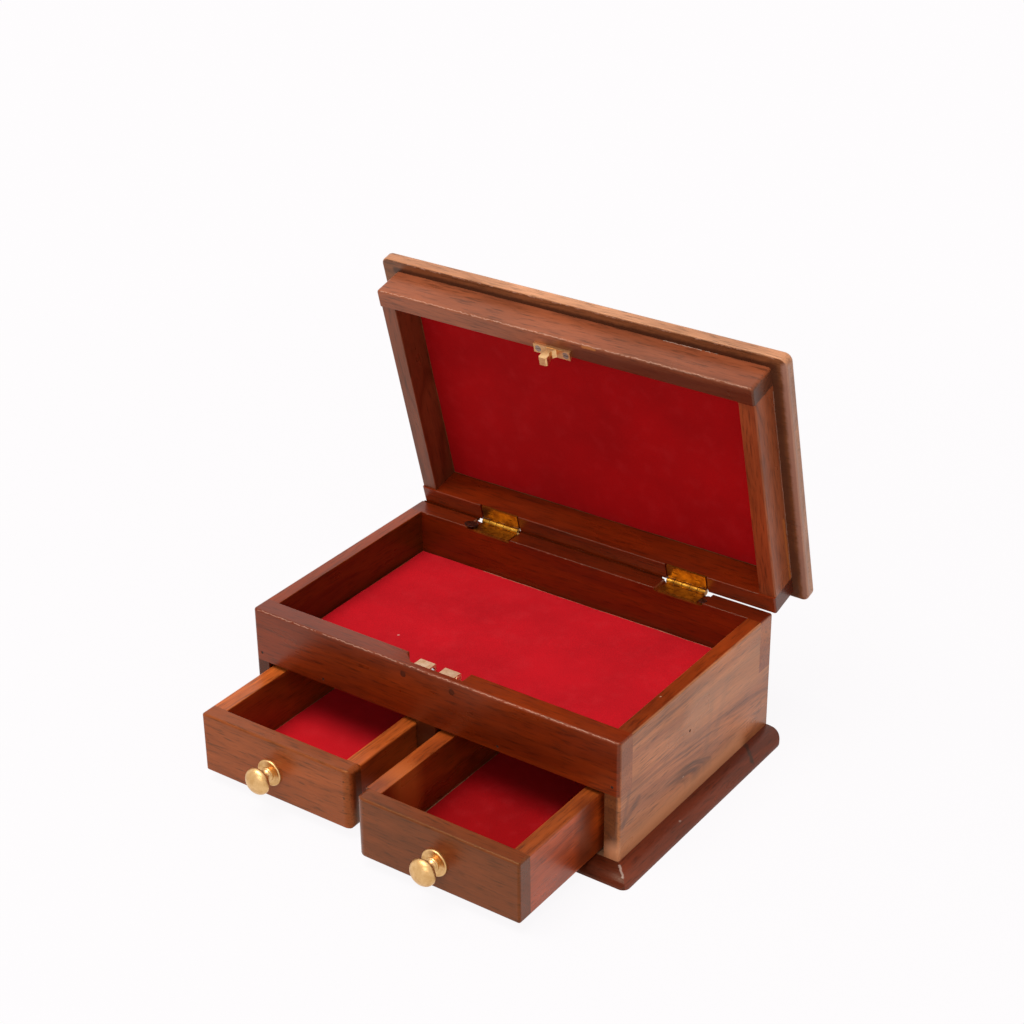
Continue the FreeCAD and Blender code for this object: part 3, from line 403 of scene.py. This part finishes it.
def cloth_grid(width, depth, thickness, waver, swell, phase):
    """A laid cloth as a height over a grid of u and v from 0 to 1.

    x and y run across the cloth, drawn in at the rim by a slow sum of sines. The height is full
    inside, with a slow swell of crossed sines, and falls in a quarter circle to 0 at the rim.
    """
    fall = thickness * 1.2
    u, v = np.meshgrid(grid_steps(CLOTH_COLUMNS, fall / width), grid_steps(CLOTH_ROWS, fall / depth))
    edge_x = waver * (0.5 + 0.3 * np.sin(9 * v + phase) + 0.2 * np.sin(31 * v + 2 * phase))
    edge_y = waver * (0.5 + 0.3 * np.sin(13 * u + 3 * phase) + 0.2 * np.sin(47 * u + phase))
    x = (u - 0.5) * (width - 2 * edge_x)
    y = (v - 0.5) * (depth - 2 * edge_y)
    rim = np.minimum(np.minimum(u, 1 - u) * width, np.minimum(v, 1 - v) * depth)
    near = np.clip(rim / fall, 0, 1)
    height = thickness * np.sqrt(1 - (1 - near) ** 2)
    height = height - swell * near * (0.5 + 0.25 * np.sin(7 * u + 5 * v + phase)
                                      + 0.25 * np.sin(11 * v - 6 * u + 2 * phase))
    return x, y, height


def grid_mesh(name, points, material):
    """A mesh over a grid of points, rows by columns by 3, with faces that point along u cross v."""
    rows, columns = points.shape[:2]
    number = np.arange(rows * columns).reshape(rows, columns)
    faces = np.stack([number[:-1, :-1], number[:-1, 1:], number[1:, 1:], number[1:, :-1]], -1)
    mesh = bpy.data.meshes.new(name)
    mesh.from_pydata(points.reshape(-1, 3).tolist(), [], faces.reshape(-1, 4).tolist())
    mesh.polygons.foreach_set("use_smooth", np.full(len(mesh.polygons), True))
    mesh.update()
    mesh.materials.append(material)
    piece = bpy.data.objects.new(name, mesh)
    bpy.context.scene.collection.objects.link(piece)
    return piece


def laid_velvet(name, node, body, material, waver, swell, phase, opened=None):
    """Cloth glued to a flat board, in the place of that node's plain slab.

    Its size and place are the slab's. Where the board is stored swung open, opened is that swing:
    the cloth is worked out under the shut board and swung with it.
    """
    swing = opened or Matrix.Identity(4)
    slab = np.array([swing.inverted() @ vertex.co for vertex in nodes[node].data.vertices])
    low, high = slab.min(0), slab.max(0)
    width, depth, thickness = high - low
    centre = (low + high) / 2
    x, y, height = cloth_grid(width, depth, thickness, waver, swell, phase)
    points = np.stack([centre[0] + x, centre[1] + y, low[2] + height], -1)
    if opened:
        points[..., 2] = high[2] - height
        points = points[::-1]
    swung = points.reshape(-1, 3) @ np.array(swing.to_3x3()).T + np.array(swing.translation)
    piece = grid_mesh(name, swung.reshape(points.shape), material)
    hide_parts(node)
    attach(piece, body)


laid_velvet("tray_velvet", "tray_lining", "case",
            velvet("tray velvet", TRAY_VELVET_RED, 0.0, 0.15, [
                ((-0.062, 0.0610, 0.0509), (0.098, 0.0610, 0.0509), 0.0015, VELVET_BACKING, 0.8),
                ((-0.0593, -0.0221, 0.051), (-0.0590, -0.0218, 0.051), 0.0013, VELVET_LINT, 0.7)]),
            waver=0.0006, swell=0.0002, phase=0.4)


# ---------------------------------------------------------------- panel pins
# Fine steel pins go through the front rail and the sides into the tray floor. Their heads are
# punched under the wood and the holes are stopped with dark wax, so each shows as a dark dot.
wax, _, _ = new_material("dark wax", {"Base Color": (0.012, 0.006, 0.004, 1.0), "Roughness": 0.6})
finish_nodes(["panel_pins"], wax)


# ---------------------------------------------------------------- brass fittings
# Butt hinges, ball catch and knobs are yellow brass, cast or folded, tumbled, thinly lacquered
# and cloudy with handling. The catch's balls and springs are steel, and so are the screws that
# hold the strike and the knobs. Brass screws hold the hinges and the catch.
TARNISH_CELLS = (260.0, 260.0, 260.0)
GRIT_CELLS = (1400.0, 1400.0, 1400.0)
STEEL_CELLS = (500.0, 500.0, 500.0)


def yellow_brass(name, bright, dull, roughness, shift):
    """Satin brass. A cloudy noise mixes bright and dull metal and sets how satin it is."""
    material, tree, surface = new_material(name, {"Metallic": 1.0})
    tarnish = noise(tree, placed(tree, ALONG_X, shift, TARNISH_CELLS), 4.0, 0.6).outputs["Fac"]
    worn = ramp(tree, tarnish, (0.35, 0.0), (0.65, 1.0))
    tree.links.new(mixed(tree, worn, bright, dull), surface.inputs["Base Color"])
    satin = eased(tree, tarnish, 0.3, 0.7, roughness, roughness + 0.12)
    tree.links.new(satin, surface.inputs["Roughness"])
    grit = noise(tree, placed(tree, ALONG_X, shift, GRIT_CELLS)).outputs["Fac"]
    bump = shader(tree, "Bump", {"Height": grit, "Strength": 0.12, "Distance": 0.0001})
    tree.links.new(bump.outputs[0], surface.inputs["Normal"])
    return material


def plain_steel(name, colour, roughness):
    """Turned steel, faintly cloudy."""
    material, tree, surface = new_material(name, {"Metallic": 1.0, "Roughness": roughness})
    cloud = noise(tree, placed(tree, ALONG_X, 0.0, STEEL_CELLS), 3.0).outputs["Fac"]
    shade = multiplied(tree, colour, ramp(tree, cloud, (0.3, 0.8), (0.7, 1.1)))
    tree.links.new(shade, surface.inputs["Base Color"])
    return material


# The hinge brass is given darker colours than the knobs' brass: painted shade on the same metal.
finish_nodes(["left_hinge_case_leaf", "right_hinge_case_leaf", "left_hinge_lid_leaf",
              "right_hinge_lid_leaf", "hinge_pins", "hinge_case_screws", "hinge_lid_screws"],
             yellow_brass("hinge brass", (0.57, 0.28, 0.035), (0.25, 0.095, 0.010), 0.28, 0.2))
# The catch brass is given paler colours than the knobs' brass: painted light on the same metal.
finish_nodes(["catch_body", "catch_set_screws", "catch_screws"],
             yellow_brass("catch brass", (1.0, 0.76, 0.5), (0.68, 0.42, 0.23), 0.42, 0.9))
finish_nodes(["left_drawer_knob", "right_drawer_knob"],
             yellow_brass("knob brass", (0.80, 0.50, 0.22), (0.64, 0.37, 0.14), 0.30, 1.6))
finish_nodes(["strike"], yellow_brass("strike brass", (0.95, 0.62, 0.30), (0.7, 0.4, 0.16), 0.30, 2.3))
finish_nodes(["catch_left_ball", "catch_right_ball", "catch_left_spring", "catch_right_spring"],
             plain_steel("bright steel", (0.62, 0.62, 0.62), 0.22))
finish_nodes(["strike_screws", "left_drawer_knob_screw", "right_drawer_knob_screw"],
             plain_steel("screw steel", (0.42, 0.35, 0.29), 0.38))


# ---------------------------------------------------------------- rim beads
# The lid leans back until its edge bears on the case's. Two thin, dull, dark round bars lie along
# the hinge line there, one up to the flaw beside the left hinge and one between the hinges: a
# painted shade that fills the gap between lid and case. Past the right hinge daylight shows through.
lid_joint = next(joint for joint in frame["joints"] if joint["name"] == "lid_hinge")
HINGE_LINE = lid_joint["pos_m"]
LID_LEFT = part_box("lid_back_member")[0][0]
LEFT_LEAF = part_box("left_hinge_case_leaf")
RIGHT_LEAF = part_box("right_hinge_case_leaf")
FLAW_FROM_LEAF = 0.0032
BEAD_RADIUS = 0.00076
SHADE_BEADS = {"shade_bead_left": (LID_LEFT, LEFT_LEAF[0][0] - FLAW_FROM_LEAF),
         "shade_bead_middle": (LEFT_LEAF[1][0] + 0.0004, RIGHT_LEAF[0][0] - 0.0038)}


def round_bar(name, radius, start, end, material, rounds=17):
    """A straight round bar along the hinge line, with closed ends.

    Its points lie on circles of the given radius about the line from start to end, and each end
    closes in two circles to its middle.
    """
    turn = np.linspace(0, 2 * np.pi, rounds)
    reach = np.array([0.0, 1.0, 1.0, 0.0]) * radius
    along = np.array([start, start, end, end])
    x = along[:, None] + 0 * turn
    y = HINGE_LINE[1] + reach[:, None] * np.cos(turn)
    z = HINGE_LINE[2] + reach[:, None] * np.sin(turn)
    return grid_mesh(name, np.stack([x, y, z], -1), material)


# Painted shade: dark wood without shine, so the bars read as the shaded seam.
shade_bead_wood = sheesham("shade bead", heart=(0.05, 0.006, 0.001), sap=(0.07, 0.009, 0.002), vein=RAIL_VEIN,
                     turn=ALONG_X, shift=10.4, gloss=0.8, shine=0.0)
for name, (start, end) in SHADE_BEADS.items():
    bead = round_bar(name, BEAD_RADIUS, start, end, shade_bead_wood)
    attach(bead, "case")


# ---------------------------------------------------------------- rim filler
# Beside each hinge a flaw in the back rail is stopped with dark filler, pressed in by thumb and
# lacquered over, so that it stands a hair proud of the rim.
FILLER_PROUD = 0.00035
FILLERS = {"left_rim_filler": (LEFT_LEAF[0][0] - FLAW_FROM_LEAF, 0.0664, 0.0043, 0.0034),
           "right_rim_filler": (RIGHT_LEAF[1][0] + FLAW_FROM_LEAF, 0.0649, 0.0024, 0.0021)}


def pressed_filler(name, middle_x, middle_y, half_length, half_width, material, rounds=25, rows=9):
    """A flat ellipsoid: the half axes times the cosine and sine of an angle round and one over."""
    over = np.linspace(0, np.pi, rows)[:, None]
    turn = np.linspace(0, 2 * np.pi, rounds)[None, :]
    x = middle_x + half_length * np.sin(over) * np.cos(turn)
    y = middle_y + half_width * np.sin(over) * np.sin(turn)
    z = RIM_HEIGHT + FILLER_PROUD * np.cos(over) + 0 * turn
    return grid_mesh(name, np.stack([x, y, z], -1), material)


paste, paste_tree, paste_surface = new_material("dark filler", {"Roughness": 0.4,
                                                                "Specular IOR Level": 0.15})
paste_cloud = noise(paste_tree, placed(paste_tree, ALONG_X, 3.0, (700.0, 700.0, 700.0))).outputs["Fac"]
paste_shade = ramp(paste_tree, paste_cloud, (0.35, (0.012, 0.003, 0.002)), (0.65, (0.06, 0.012, 0.006)))
paste_tree.links.new(paste_shade, paste_surface.inputs["Base Color"])
for name, (middle_x, middle_y, half_length, half_width) in FILLERS.items():
    filler = pressed_filler(name, middle_x, middle_y, half_length, half_width, paste)
    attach(filler, "case")


# ---------------------------------------------------------------- lid
# A board on a shallow frame of four members, glued and sanded. The frame shuts on the case, and
# the board overhangs it with rounded edges. The lid is stored open, swung back on its hinges.
LID_ANGLE = math.radians(lid_joint["range_deg"][0])
LID_ALONG_X = (-LID_ANGLE, 0.0, 0.0)
LID_ALONG_DEPTH = (-LID_ANGLE, 0.0, -math.pi / 2)
lid_open = (Matrix.Translation(HINGE_LINE) @ Matrix.Rotation(LID_ANGLE, 4, "X")
            @ Matrix.Translation(-Vector(HINGE_LINE)))
lid_top = lid_open.to_3x3() @ Vector(UP)
LID_TOP, LID_UNDER = tuple(lid_top), tuple(-lid_top)
FRAME_SHADOW = (0.04, 0.010, 0.005)
OVERHANG_SHADOW = (0.07, 0.018, 0.007)
EDGE_HIGHLIGHT = (0.42, 0.21, 0.15)
SHUTTING_FACE_SHADE = (0.06, 0.006, 0.002)
ORANGE_SAP = (0.5, 0.17, 0.04)
ORANGE_STREAK = (0.6, 0.16, 0.03)


def on_lid(x, y, z):
    """A place on the shut lid, swung back with it."""
    return tuple(lid_open @ Vector((x, y, z)))


# Painted light and shade on the lid board: shadows under the frame and the overhang, highlights on the
# right edge and the front arris, and an underside and top tinted by the way they face.
finish_nodes(["lid_board"], sheesham(
    "lid board", heart=(0.46, 0.19, 0.09), sap=(0.62, 0.28, 0.14), vein=(0.24, 0.08, 0.035),
    turn=LID_ALONG_X, shift=11.3, pith=(0.0, 0.2, 0.1), ends=(0.8, 0.75, 0.75),
    faces=[(LID_UNDER, (0.38, 0.28, 0.2)), (LID_TOP, (0.72, 0.58, 0.48))],
    marks=[(on_lid(-0.113, -0.0745, 0.0941), on_lid(0.117, -0.0745, 0.0941), 0.0060, FRAME_SHADOW, 0.85),
           (on_lid(0.1175, -0.074, 0.0941), on_lid(0.1175, 0.074, 0.0941), 0.0110, OVERHANG_SHADOW, 0.85),
           (on_lid(0.1250, -0.076, 0.0943), on_lid(0.1250, 0.074, 0.0943), 0.0065, EDGE_HIGHLIGHT, 0.8),
           (on_lid(-0.116, -0.0800, 0.0945), on_lid(0.119, -0.0800, 0.0945), 0.0009, ARRIS_HIGHLIGHT, 0.6)]))
# A painted highlight runs along its rim's outer arris, and painted shade darkens the right half of its
# rim.
finish_nodes(["lid_front_member"], sheesham(
    "lid front member", heart=(0.20, 0.045, 0.016), sap=(0.28, 0.07, 0.026), vein=(0.09, 0.02, 0.008),
    turn=LID_ALONG_X, shift=12.1, pith=(0.0, 0.1, 0.15), ends=(0.6, 0.65, 0.7),
    marks=[(on_lid(-0.110, -0.0736, 0.0758), on_lid(0.114, -0.0736, 0.0758), 0.0007, ARRIS_HIGHLIGHT, 0.55),
           (on_lid(0.056, -0.074, 0.0938), on_lid(0.087, -0.074, 0.0938), 0.0006, PALE_FILLER, 0.6),
           (on_lid(0.000, -0.066, 0.0765), on_lid(0.120, -0.067, 0.0765), 0.016, SHUTTING_FACE_SHADE, 0.75),
           (on_lid(0.019, -0.0725, 0.0754), on_lid(0.0260, -0.0725, 0.0754), 0.0022, ORANGE_SAP, 0.8)]))
finish_nodes(["lid_back_member"], sheesham(
    "lid back member", heart=(0.14, 0.012, 0.001), sap=(0.2, 0.02, 0.002), vein=RAIL_VEIN,
    turn=LID_ALONG_X, shift=13.6, pith=(0.0, 0.1, 0.15)))
finish_nodes(["lid_left_member"], sheesham(
    "lid left member", heart=(0.15, 0.03, 0.01), sap=(0.2, 0.045, 0.015), vein=RAIL_VEIN,
    turn=LID_ALONG_DEPTH, shift=14.7, pith=(-0.2, 0.1, 0.15)))
# Its underside is darkened by the way it faces: painted shade.
finish_nodes(["lid_right_member"], sheesham(
    "lid right member", heart=(0.24, 0.05, 0.016), sap=(0.32, 0.075, 0.024), vein=RAIL_VEIN,
    turn=LID_ALONG_DEPTH, shift=15.2, pith=(0.2, 0.1, 0.15), shine=0.35,
    faces=[(LID_UNDER, (0.75, 0.6, 0.5))],
    marks=[(on_lid(0.117, 0.022, 0.0915), on_lid(0.117, 0.066, 0.0925), 0.0026, ORANGE_STREAK, 0.6),
           (on_lid(0.117, -0.06, 0.0936), on_lid(0.117, 0.07, 0.0936), 0.0006, PALE_FILLER, 0.5)]))


# ---------------------------------------------------------------- lid velvet
# The same red cotton velvet as in the tray, glued to the underside of the lid's board inside the
# frame. It is given a darker crimson than the tray's, a painted shade on the same cloth.
LID_VELVET_SHADED_RED = (0.38, 0.0005, 0.002)
laid_velvet("lid_velvet", "lid_lining", "lid",
            velvet("lid velvet", LID_VELVET_SHADED_RED, 2.0, 0.04),
            waver=0.0005, swell=0.0001, phase=1.3, opened=lid_open)


# ---------------------------------------------------------------- drawers
# Each drawer is four butted boards with a velvet-lined bottom let into them. The fronts are
# pinkish brown, the sides more orange, and all the edges are rounded by hand. A turned brass knob
# is held by a screw through the front.
DRAWER_SHIFTS = {"left": 20.0, "right": 30.0}
DRAWER_VEIN = (0.09, 0.018, 0.006)
DRAWER_GRIME = (0.05, 0.012, 0.004)
DRAWER_FRONTS = {"left": ((0.22, 0.04, 0.008), (0.31, 0.062, 0.014)),
                 "right": ((0.13, 0.024, 0.006), (0.19, 0.037, 0.009))}
DRAWER_FRONT_ENDS = {"left": (0.4, 0.35, 0.3), "right": (1.0, 0.75, 0.6)}
DRAWER_SIDES = {"left": ((0.26, 0.045, 0.006), (0.5, 0.105, 0.015)),
                "right": ((0.22, 0.035, 0.005), (0.34, 0.065, 0.009))}
DRAWER_SIDE_SHIFTS = {"left": 0.65, "right": 1.1}
# Painted light and shade on the drawer sides: faces turned to the right and tops are lightened or
# darkened, board by board.
DRAWER_RIGHT_FACE_LIGHTING = {("left", "left"): 0.65, ("left", "right"): 0.8,
                       ("right", "left"): 0.75, ("right", "right"): 1.5}
DRAWER_TOP_LIGHTING = {("left", "left"): 1.0, ("left", "right"): 1.2,
                    ("right", "left"): 1.0, ("right", "right"): 0.7}
# Painted light and shade: the same velvet is made lighter in the left drawer and darker in the right.
DRAWER_VELVETS_LIT_AND_SHADED = {"left": (0.6, 0.006, 0.012), "right": (0.36, 0.001, 0.003)}


def on_front(side, x, z):
    """A place on the outer face of a drawer's front."""
    return (x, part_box(side + "_drawer_front")[0][1], z)


DRAWER_FRONT_MARKS = {
    "left": [
        (on_front("left", -0.0078, 0.014), on_front("left", -0.0078, 0.044), 0.0050, DRAWER_GRIME, 0.55),
        (on_front("left", -0.0124, 0.0345), on_front("left", -0.0122, 0.0345), 0.0013, DRAWER_GRIME, 0.8),
        (on_front("left", -0.0128, 0.0250), on_front("left", -0.0126, 0.0245), 0.0015, DRAWER_GRIME, 0.8),
        (on_front("left", -0.0137, 0.0172), on_front("left", -0.0135, 0.0172), 0.0012, DRAWER_GRIME, 0.7),
        (on_front("left", -0.1031, 0.0257), on_front("left", -0.1029, 0.0257), 0.0013, DRAWER_GRIME, 0.7)],
    "right": [
        (on_front("right", 0.0062, 0.014), on_front("right", 0.0062, 0.044), 0.0044, DRAWER_GRIME, 0.5),
        (on_front("right", 0.0104, 0.0361), on_front("right", 0.0106, 0.0361), 0.0014, DRAWER_GRIME, 0.8),
        (on_front("right", 0.0096, 0.0322), on_front("right", 0.0098, 0.0322), 0.0012, DRAWER_GRIME, 0.7)]}
# Painted light on the front of the right drawer's left side, and a painted shadow on its right side near
# the case.
DRAWER_PAINTED_LIGHT_PATCH = (0.5, 0.11, 0.018)
DRAWER_PAINTED_SHADOW = (0.10, 0.014, 0.003)
DRAWER_SIDE_MARKS = {
    ("right", "left"): [((0.013, -0.112, 0.022), (0.013, -0.112, 0.036), 0.030, DRAWER_PAINTED_LIGHT_PATCH, 0.8)],
    ("right", "right"): [((0.106, -0.086, 0.012), (0.106, -0.084, 0.050), 0.022, DRAWER_PAINTED_SHADOW, 0.7)]}
for side, shift in DRAWER_SHIFTS.items():
    drawer = side + "_drawer"
    finish_nodes([drawer + "_front"], sheesham(
        side + " drawer front", *DRAWER_FRONTS[side], DRAWER_VEIN, turn=ALONG_X, shift=shift,
        pith=(0.0, -0.2, -0.05), veining=0.3, shine=0.42, amber=(1.0, 0.72, 0.3),
        ends=DRAWER_FRONT_ENDS[side], marks=DRAWER_FRONT_MARKS[side]))
    for hand, side_shift in DRAWER_SIDE_SHIFTS.items():
        shade, top = DRAWER_RIGHT_FACE_LIGHTING[side, hand], DRAWER_TOP_LIGHTING[side, hand]
        finish_nodes([drawer + "_" + hand + "_side"], sheesham(
            side + " drawer " + hand + " side", *DRAWER_SIDES[side], DRAWER_VEIN, turn=ALONG_Y,
            shift=shift + side_shift, pith=(0.2, 0.0, -0.03), rings=1.6, blotch=0.3,
            faces=[(RIGHT, (shade, shade * 0.8, shade * 0.7)), (UP, (top, top, top))],
            marks=DRAWER_SIDE_MARKS.get((side, hand), ())))
    finish_nodes([drawer + "_back"], sheesham(
        side + " drawer back", heart=(0.2, 0.03, 0.005), sap=(0.27, 0.05, 0.008), vein=DRAWER_VEIN,
        turn=ALONG_X, shift=shift + 2))
    finish_nodes([drawer + "_bottom"], sheesham(
        side + " drawer bottom", heart=(0.25, 0.1, 0.05), sap=(0.3, 0.13, 0.07), vein=DRAWER_VEIN,
        turn=ALONG_X, shift=shift + 3, gloss=0.6, shine=0.2))
    laid_velvet(drawer + "_velvet", drawer + "_lining", drawer,
                velvet(side + " drawer velvet", DRAWER_VELVETS_LIT_AND_SHADED[side], shift, 0.05),
                waver=0.0004, swell=0.0001, phase=shift)


# ---------------------------------------------------------------- studio
# The box stands on a floor of pale paper under a white surround. One wide soft lamp hangs
# overhead and a weaker one stands at the front.
BACKGROUND_WHITE = (0.993, 0.975, 0.984, 1.0)
PAPER_WHITE = (0.86, 0.85, 0.855, 1.0)
PAPER_HALF_WIDTH = 4.0
PAPER_BELOW = 0.0002
PAPER_NEAR, PAPER_FAR = 0.25, 0.7
PAPER_NEAR_GLOW = 0.94
SURROUND_LIGHT = 0.42
CAMERA_PLACE = (0.57324, -0.80614, 0.65696)
CAMERA_YAW = math.radians(35.36)
CAMERA_PITCH = math.radians(27.88)
CAMERA_ROLL = math.radians(-0.69)
CAMERA_LENS = 76.58


def seen_directly(tree):
    """1 for rays from the camera, off a shine or through glass, and 0 for soft light."""
    path = shader(tree, "LightPath")
    either = arithmetic(tree, "MAXIMUM", path.outputs["Is Camera Ray"], path.outputs["Is Glossy Ray"])
    return arithmetic(tree, "MAXIMUM", either, path.outputs["Is Transmission Ray"])


paper, paper_tree, paper_surface = new_material("studio paper", {
    "Base Color": PAPER_WHITE, "Roughness": 1.0, "Specular IOR Level": 0.0})
paper_place = shader(paper_tree, "TexCoord").outputs["Object"]
paper_reach = vector_step(paper_tree, "LENGTH", paper_place, ORIGIN, "Value")
evenness = eased(paper_tree, paper_reach, PAPER_NEAR, PAPER_FAR, PAPER_NEAR_GLOW, 1.0)
glow = shader(paper_tree, "Emission", {"Color": BACKGROUND_WHITE, "Strength": 1.0})
lit = shader(paper_tree, "MixShader", {
    0: arithmetic(paper_tree, "MULTIPLY", seen_directly(paper_tree), evenness),
    1: paper_surface.outputs[0], 2: glow.outputs[0]})
paper_tree.links.new(lit.outputs[0], paper_tree.nodes["Material Output"].inputs["Surface"])
floor_mesh = bpy.data.meshes.new("studio_floor")
floor_corners = [(x * PAPER_HALF_WIDTH, y * PAPER_HALF_WIDTH, -PAPER_BELOW)
                 for x, y in ((-1, -1), (1, -1), (1, 1), (-1, 1))]
floor_mesh.from_pydata(floor_corners, [], [(0, 1, 2, 3)])
floor_mesh.materials.append(paper)
floor = bpy.data.objects.new("studio_floor", floor_mesh)
bpy.context.scene.collection.objects.link(floor)

world = bpy.data.worlds.new("studio surround")
bpy.context.scene.world = world
world.use_nodes = True
world_tree = world.node_tree
world_tree.nodes.clear()
level = eased(world_tree, seen_directly(world_tree), 0.0, 1.0, SURROUND_LIGHT, 1.0)
surround = shader(world_tree, "Background", {"Color": BACKGROUND_WHITE, "Strength": level})
shader(world_tree, "OutputWorld", {"Surface": surround.outputs[0]})


def soft_lamp(name, place, aim, width, height, watts):
    """A soft rectangular lamp that looks from a place at a point."""
    data = bpy.data.lights.new(name, "AREA")
    data.shape = "RECTANGLE"
    data.size = width
    data.size_y = height
    data.energy = watts
    lamp = bpy.data.objects.new(name, data)
    lamp.location = place
    lamp.rotation_euler = (Vector(aim) - Vector(place)).to_track_quat("-Z", "Y").to_euler()
    bpy.context.scene.collection.objects.link(lamp)


soft_lamp("overhead softbox", (-0.3, -0.75, 2.3), (0.0, 0.0, 0.05), 1.6, 1.3, 44.0)
soft_lamp("front fill", (0.7, -2.3, 1.2), (0.0, 0.0, 0.08), 1.2, 0.9, 9.0)

camera_data = bpy.data.cameras.new("camera")
camera_data.lens = CAMERA_LENS
camera_data.sensor_width = 36.0
camera_data.clip_start = 0.01
camera_data.clip_end = 30.0
camera = bpy.data.objects.new("camera", camera_data)
bpy.context.scene.collection.objects.link(camera)
look = Vector((-math.sin(CAMERA_YAW) * math.cos(CAMERA_PITCH),
               math.cos(CAMERA_YAW) * math.cos(CAMERA_PITCH), -math.sin(CAMERA_PITCH)))
level_right = Vector((math.cos(CAMERA_YAW), math.sin(CAMERA_YAW), 0.0))
level_up = level_right.cross(look)
camera_right = level_right * math.cos(CAMERA_ROLL) + level_up * math.sin(CAMERA_ROLL)
camera_up = level_up * math.cos(CAMERA_ROLL) - level_right * math.sin(CAMERA_ROLL)
camera_turn = Matrix((camera_right, camera_up, -look)).transposed()
camera.matrix_world = Matrix.Translation(CAMERA_PLACE) @ camera_turn.to_4x4()
bpy.context.scene.camera = camera
bpy.context.scene.view_settings.view_transform = "Standard"
